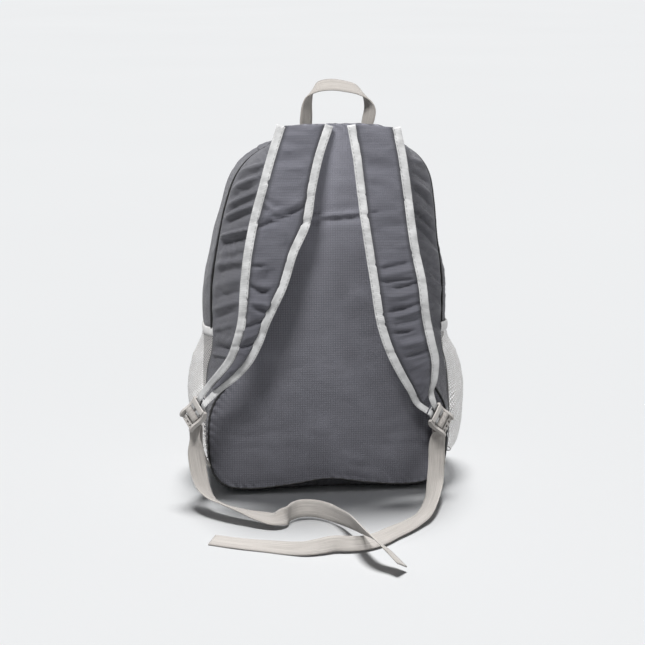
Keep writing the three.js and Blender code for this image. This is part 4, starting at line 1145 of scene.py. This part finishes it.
def makeLowerWebbing(side):
    outward = -1 if side == "left" else 1
    across = buckleAxes(side)[1]
    at = [Vector(point) for point in anchors[side]]
    ways = [Vector((0.3 * outward, 0.95, 0))] * 2 + [Vector((0.4 * outward, 0.9, 0.1))]
    for y, z in ((9, -12.7), (6, -6.7), (2, -4.2), (-1.6, -3), (-3.6, -1.2), (-3.4, 1.4), (-1.6, 3.4),
                 (0.8, 4.3), (3.4, 3.9), (5.6, 2), (7.2, -0.9), (9.4, -3.2), (12.4, -4), (16.4, -4.4)):
        at.append(onBuckle(side, 0, y, z))
        ways.append(across)
    band = {"at": at, "across": ways, **webbing}
    finishPiece(webbingBand(band, 160), f"{side}LowerWebbing", "webbing", [f"lower_webbing_{side}"])


for side in ("left", "right"):
    makeBuckle(side)
    makeLowerWebbing(side)
print("buckles are made")


handle = {"rise": 55, "span": 70, "setBack": 15}
handleRows = [  # x share, rise share and the way the width runs
    (-0.5, 0, 0.75, 0.66, -0.42), (-0.49, 0.3, 0.75, 0.66, 0), (-0.475, 0.58, 0.62, 0.75, 0.1),
    (-0.425, 0.79, 0.45, 0.8, 0.3), (-0.31, 0.92, 0.15, 0.84, 0.5), (-0.1, 0.97, 0, 0.82, 0.57),
    (0.13, 0.94, 0, 0.82, 0.57), (0.36, 0.86, -0.1, 0.84, 0.5), (0.51, 0.7, -0.35, 0.85, 0.3),
    (0.57, 0.48, -0.52, 0.82, 0.1), (0.545, 0.25, -0.61, 0.79, 0), (0.5, 0, -0.61, 0.79, -0.5),
]


def makeHandle():
    share = handle["setBack"] / (bag["depth"] * outline("depth", lastRow))
    centre = bagPoint(lastRow, share).x
    feet = []
    for sign in (-1, 1):
        low, high = lastRow - 2, lastRow
        for _ in range(30):
            middle = (low + high) / 2
            inside = sign * bagPoint(sign * middle, share).x < sign * (centre + sign * handle["span"] / 2)
            low, high = (low, middle) if inside else (middle, high)
        feet.append(bagPoint(sign * low, share).z)
    at, across = [], []
    for x, rise, *way in handleRows:
        floorZ = mix(feet[0], feet[1], x + 0.5) + 0.4
        at.append(Vector((centre + x * handle["span"], handle["setBack"], floorZ + rise * handle["rise"])))
        across.append(Vector(way))
    band = {"at": at, "across": across, "sheared": True, **webbing}
    finishPiece(webbingBand(band, 160), "carryHandle", "handle", ["handle"])


makeHandle()
print("handle is made")


lights = [  # name, kind, place, aim, size in metres or degrees, power
    ("ceiling", "SUN", (0.1, 0.75, 3), (0, 0, 0), 19, 2.97),
    ("frontFill", "AREA", (-0.42, -0.72, 1.5), (0, 0, 0.3), 0.34, 31),
    ("sideFill", "AREA", (1.2, -0.9, 0.9), (0, 0, 0.25), 0.5, 8),
]


def makeStudio():
    bm = bmesh.new()
    bmesh.ops.create_grid(bm, x_segments=1, y_segments=1, size=30)
    mesh = bpy.data.meshes.new("studioFloor")
    bm.to_mesh(mesh)
    bm.free()
    floorPiece = bpy.data.objects.new("studioFloor", mesh)
    bpy.context.scene.collection.objects.link(floorPiece)
    paint = Finish("studioFloor", Specular_IOR_Level=0.0, Roughness=0.9)
    cloud = paint.cloud(0.6, 2)
    mesh.materials.append(paint.feed(Base_Color=paint.blend(cloud, grey(236, -1), grey(240, -1))))
    # The fill lights leave the floor out, so that the bag's own shadow stays deep
    spared = bpy.data.collections.new("fillSpares")
    spared.objects.link(floorPiece)
    spared.collection_objects[0].light_linking.link_state = "EXCLUDE"
    for name, kind, at, towards, size, power in lights:
        lamp = bpy.data.lights.new(name, kind)
        lamp.energy = power
        if kind == "SUN":
            lamp.angle = radians(size)
        else:
            lamp.size = size
        lampPiece = bpy.data.objects.new(name, lamp)
        way = Vector(towards) - Vector(at)
        turn = way.to_track_quat("-Z", "Y").to_matrix().to_4x4()
        lampPiece.matrix_world = Matrix.Translation(at) @ turn
        bpy.context.scene.collection.objects.link(lampPiece)
        if kind == "AREA":
            lampPiece.light_linking.receiver_collection = spared
    world = bpy.data.worlds.new("studioAir")
    world.use_nodes = True
    world.node_tree.nodes["Background"].inputs["Color"].default_value = (0.94, 0.97, 1, 1)
    world.node_tree.nodes["Background"].inputs["Strength"].default_value = 0.09
    bpy.context.scene.world = world
    bpy.context.scene.view_settings.view_transform = "Standard"


makeStudio()
print("studio is set")
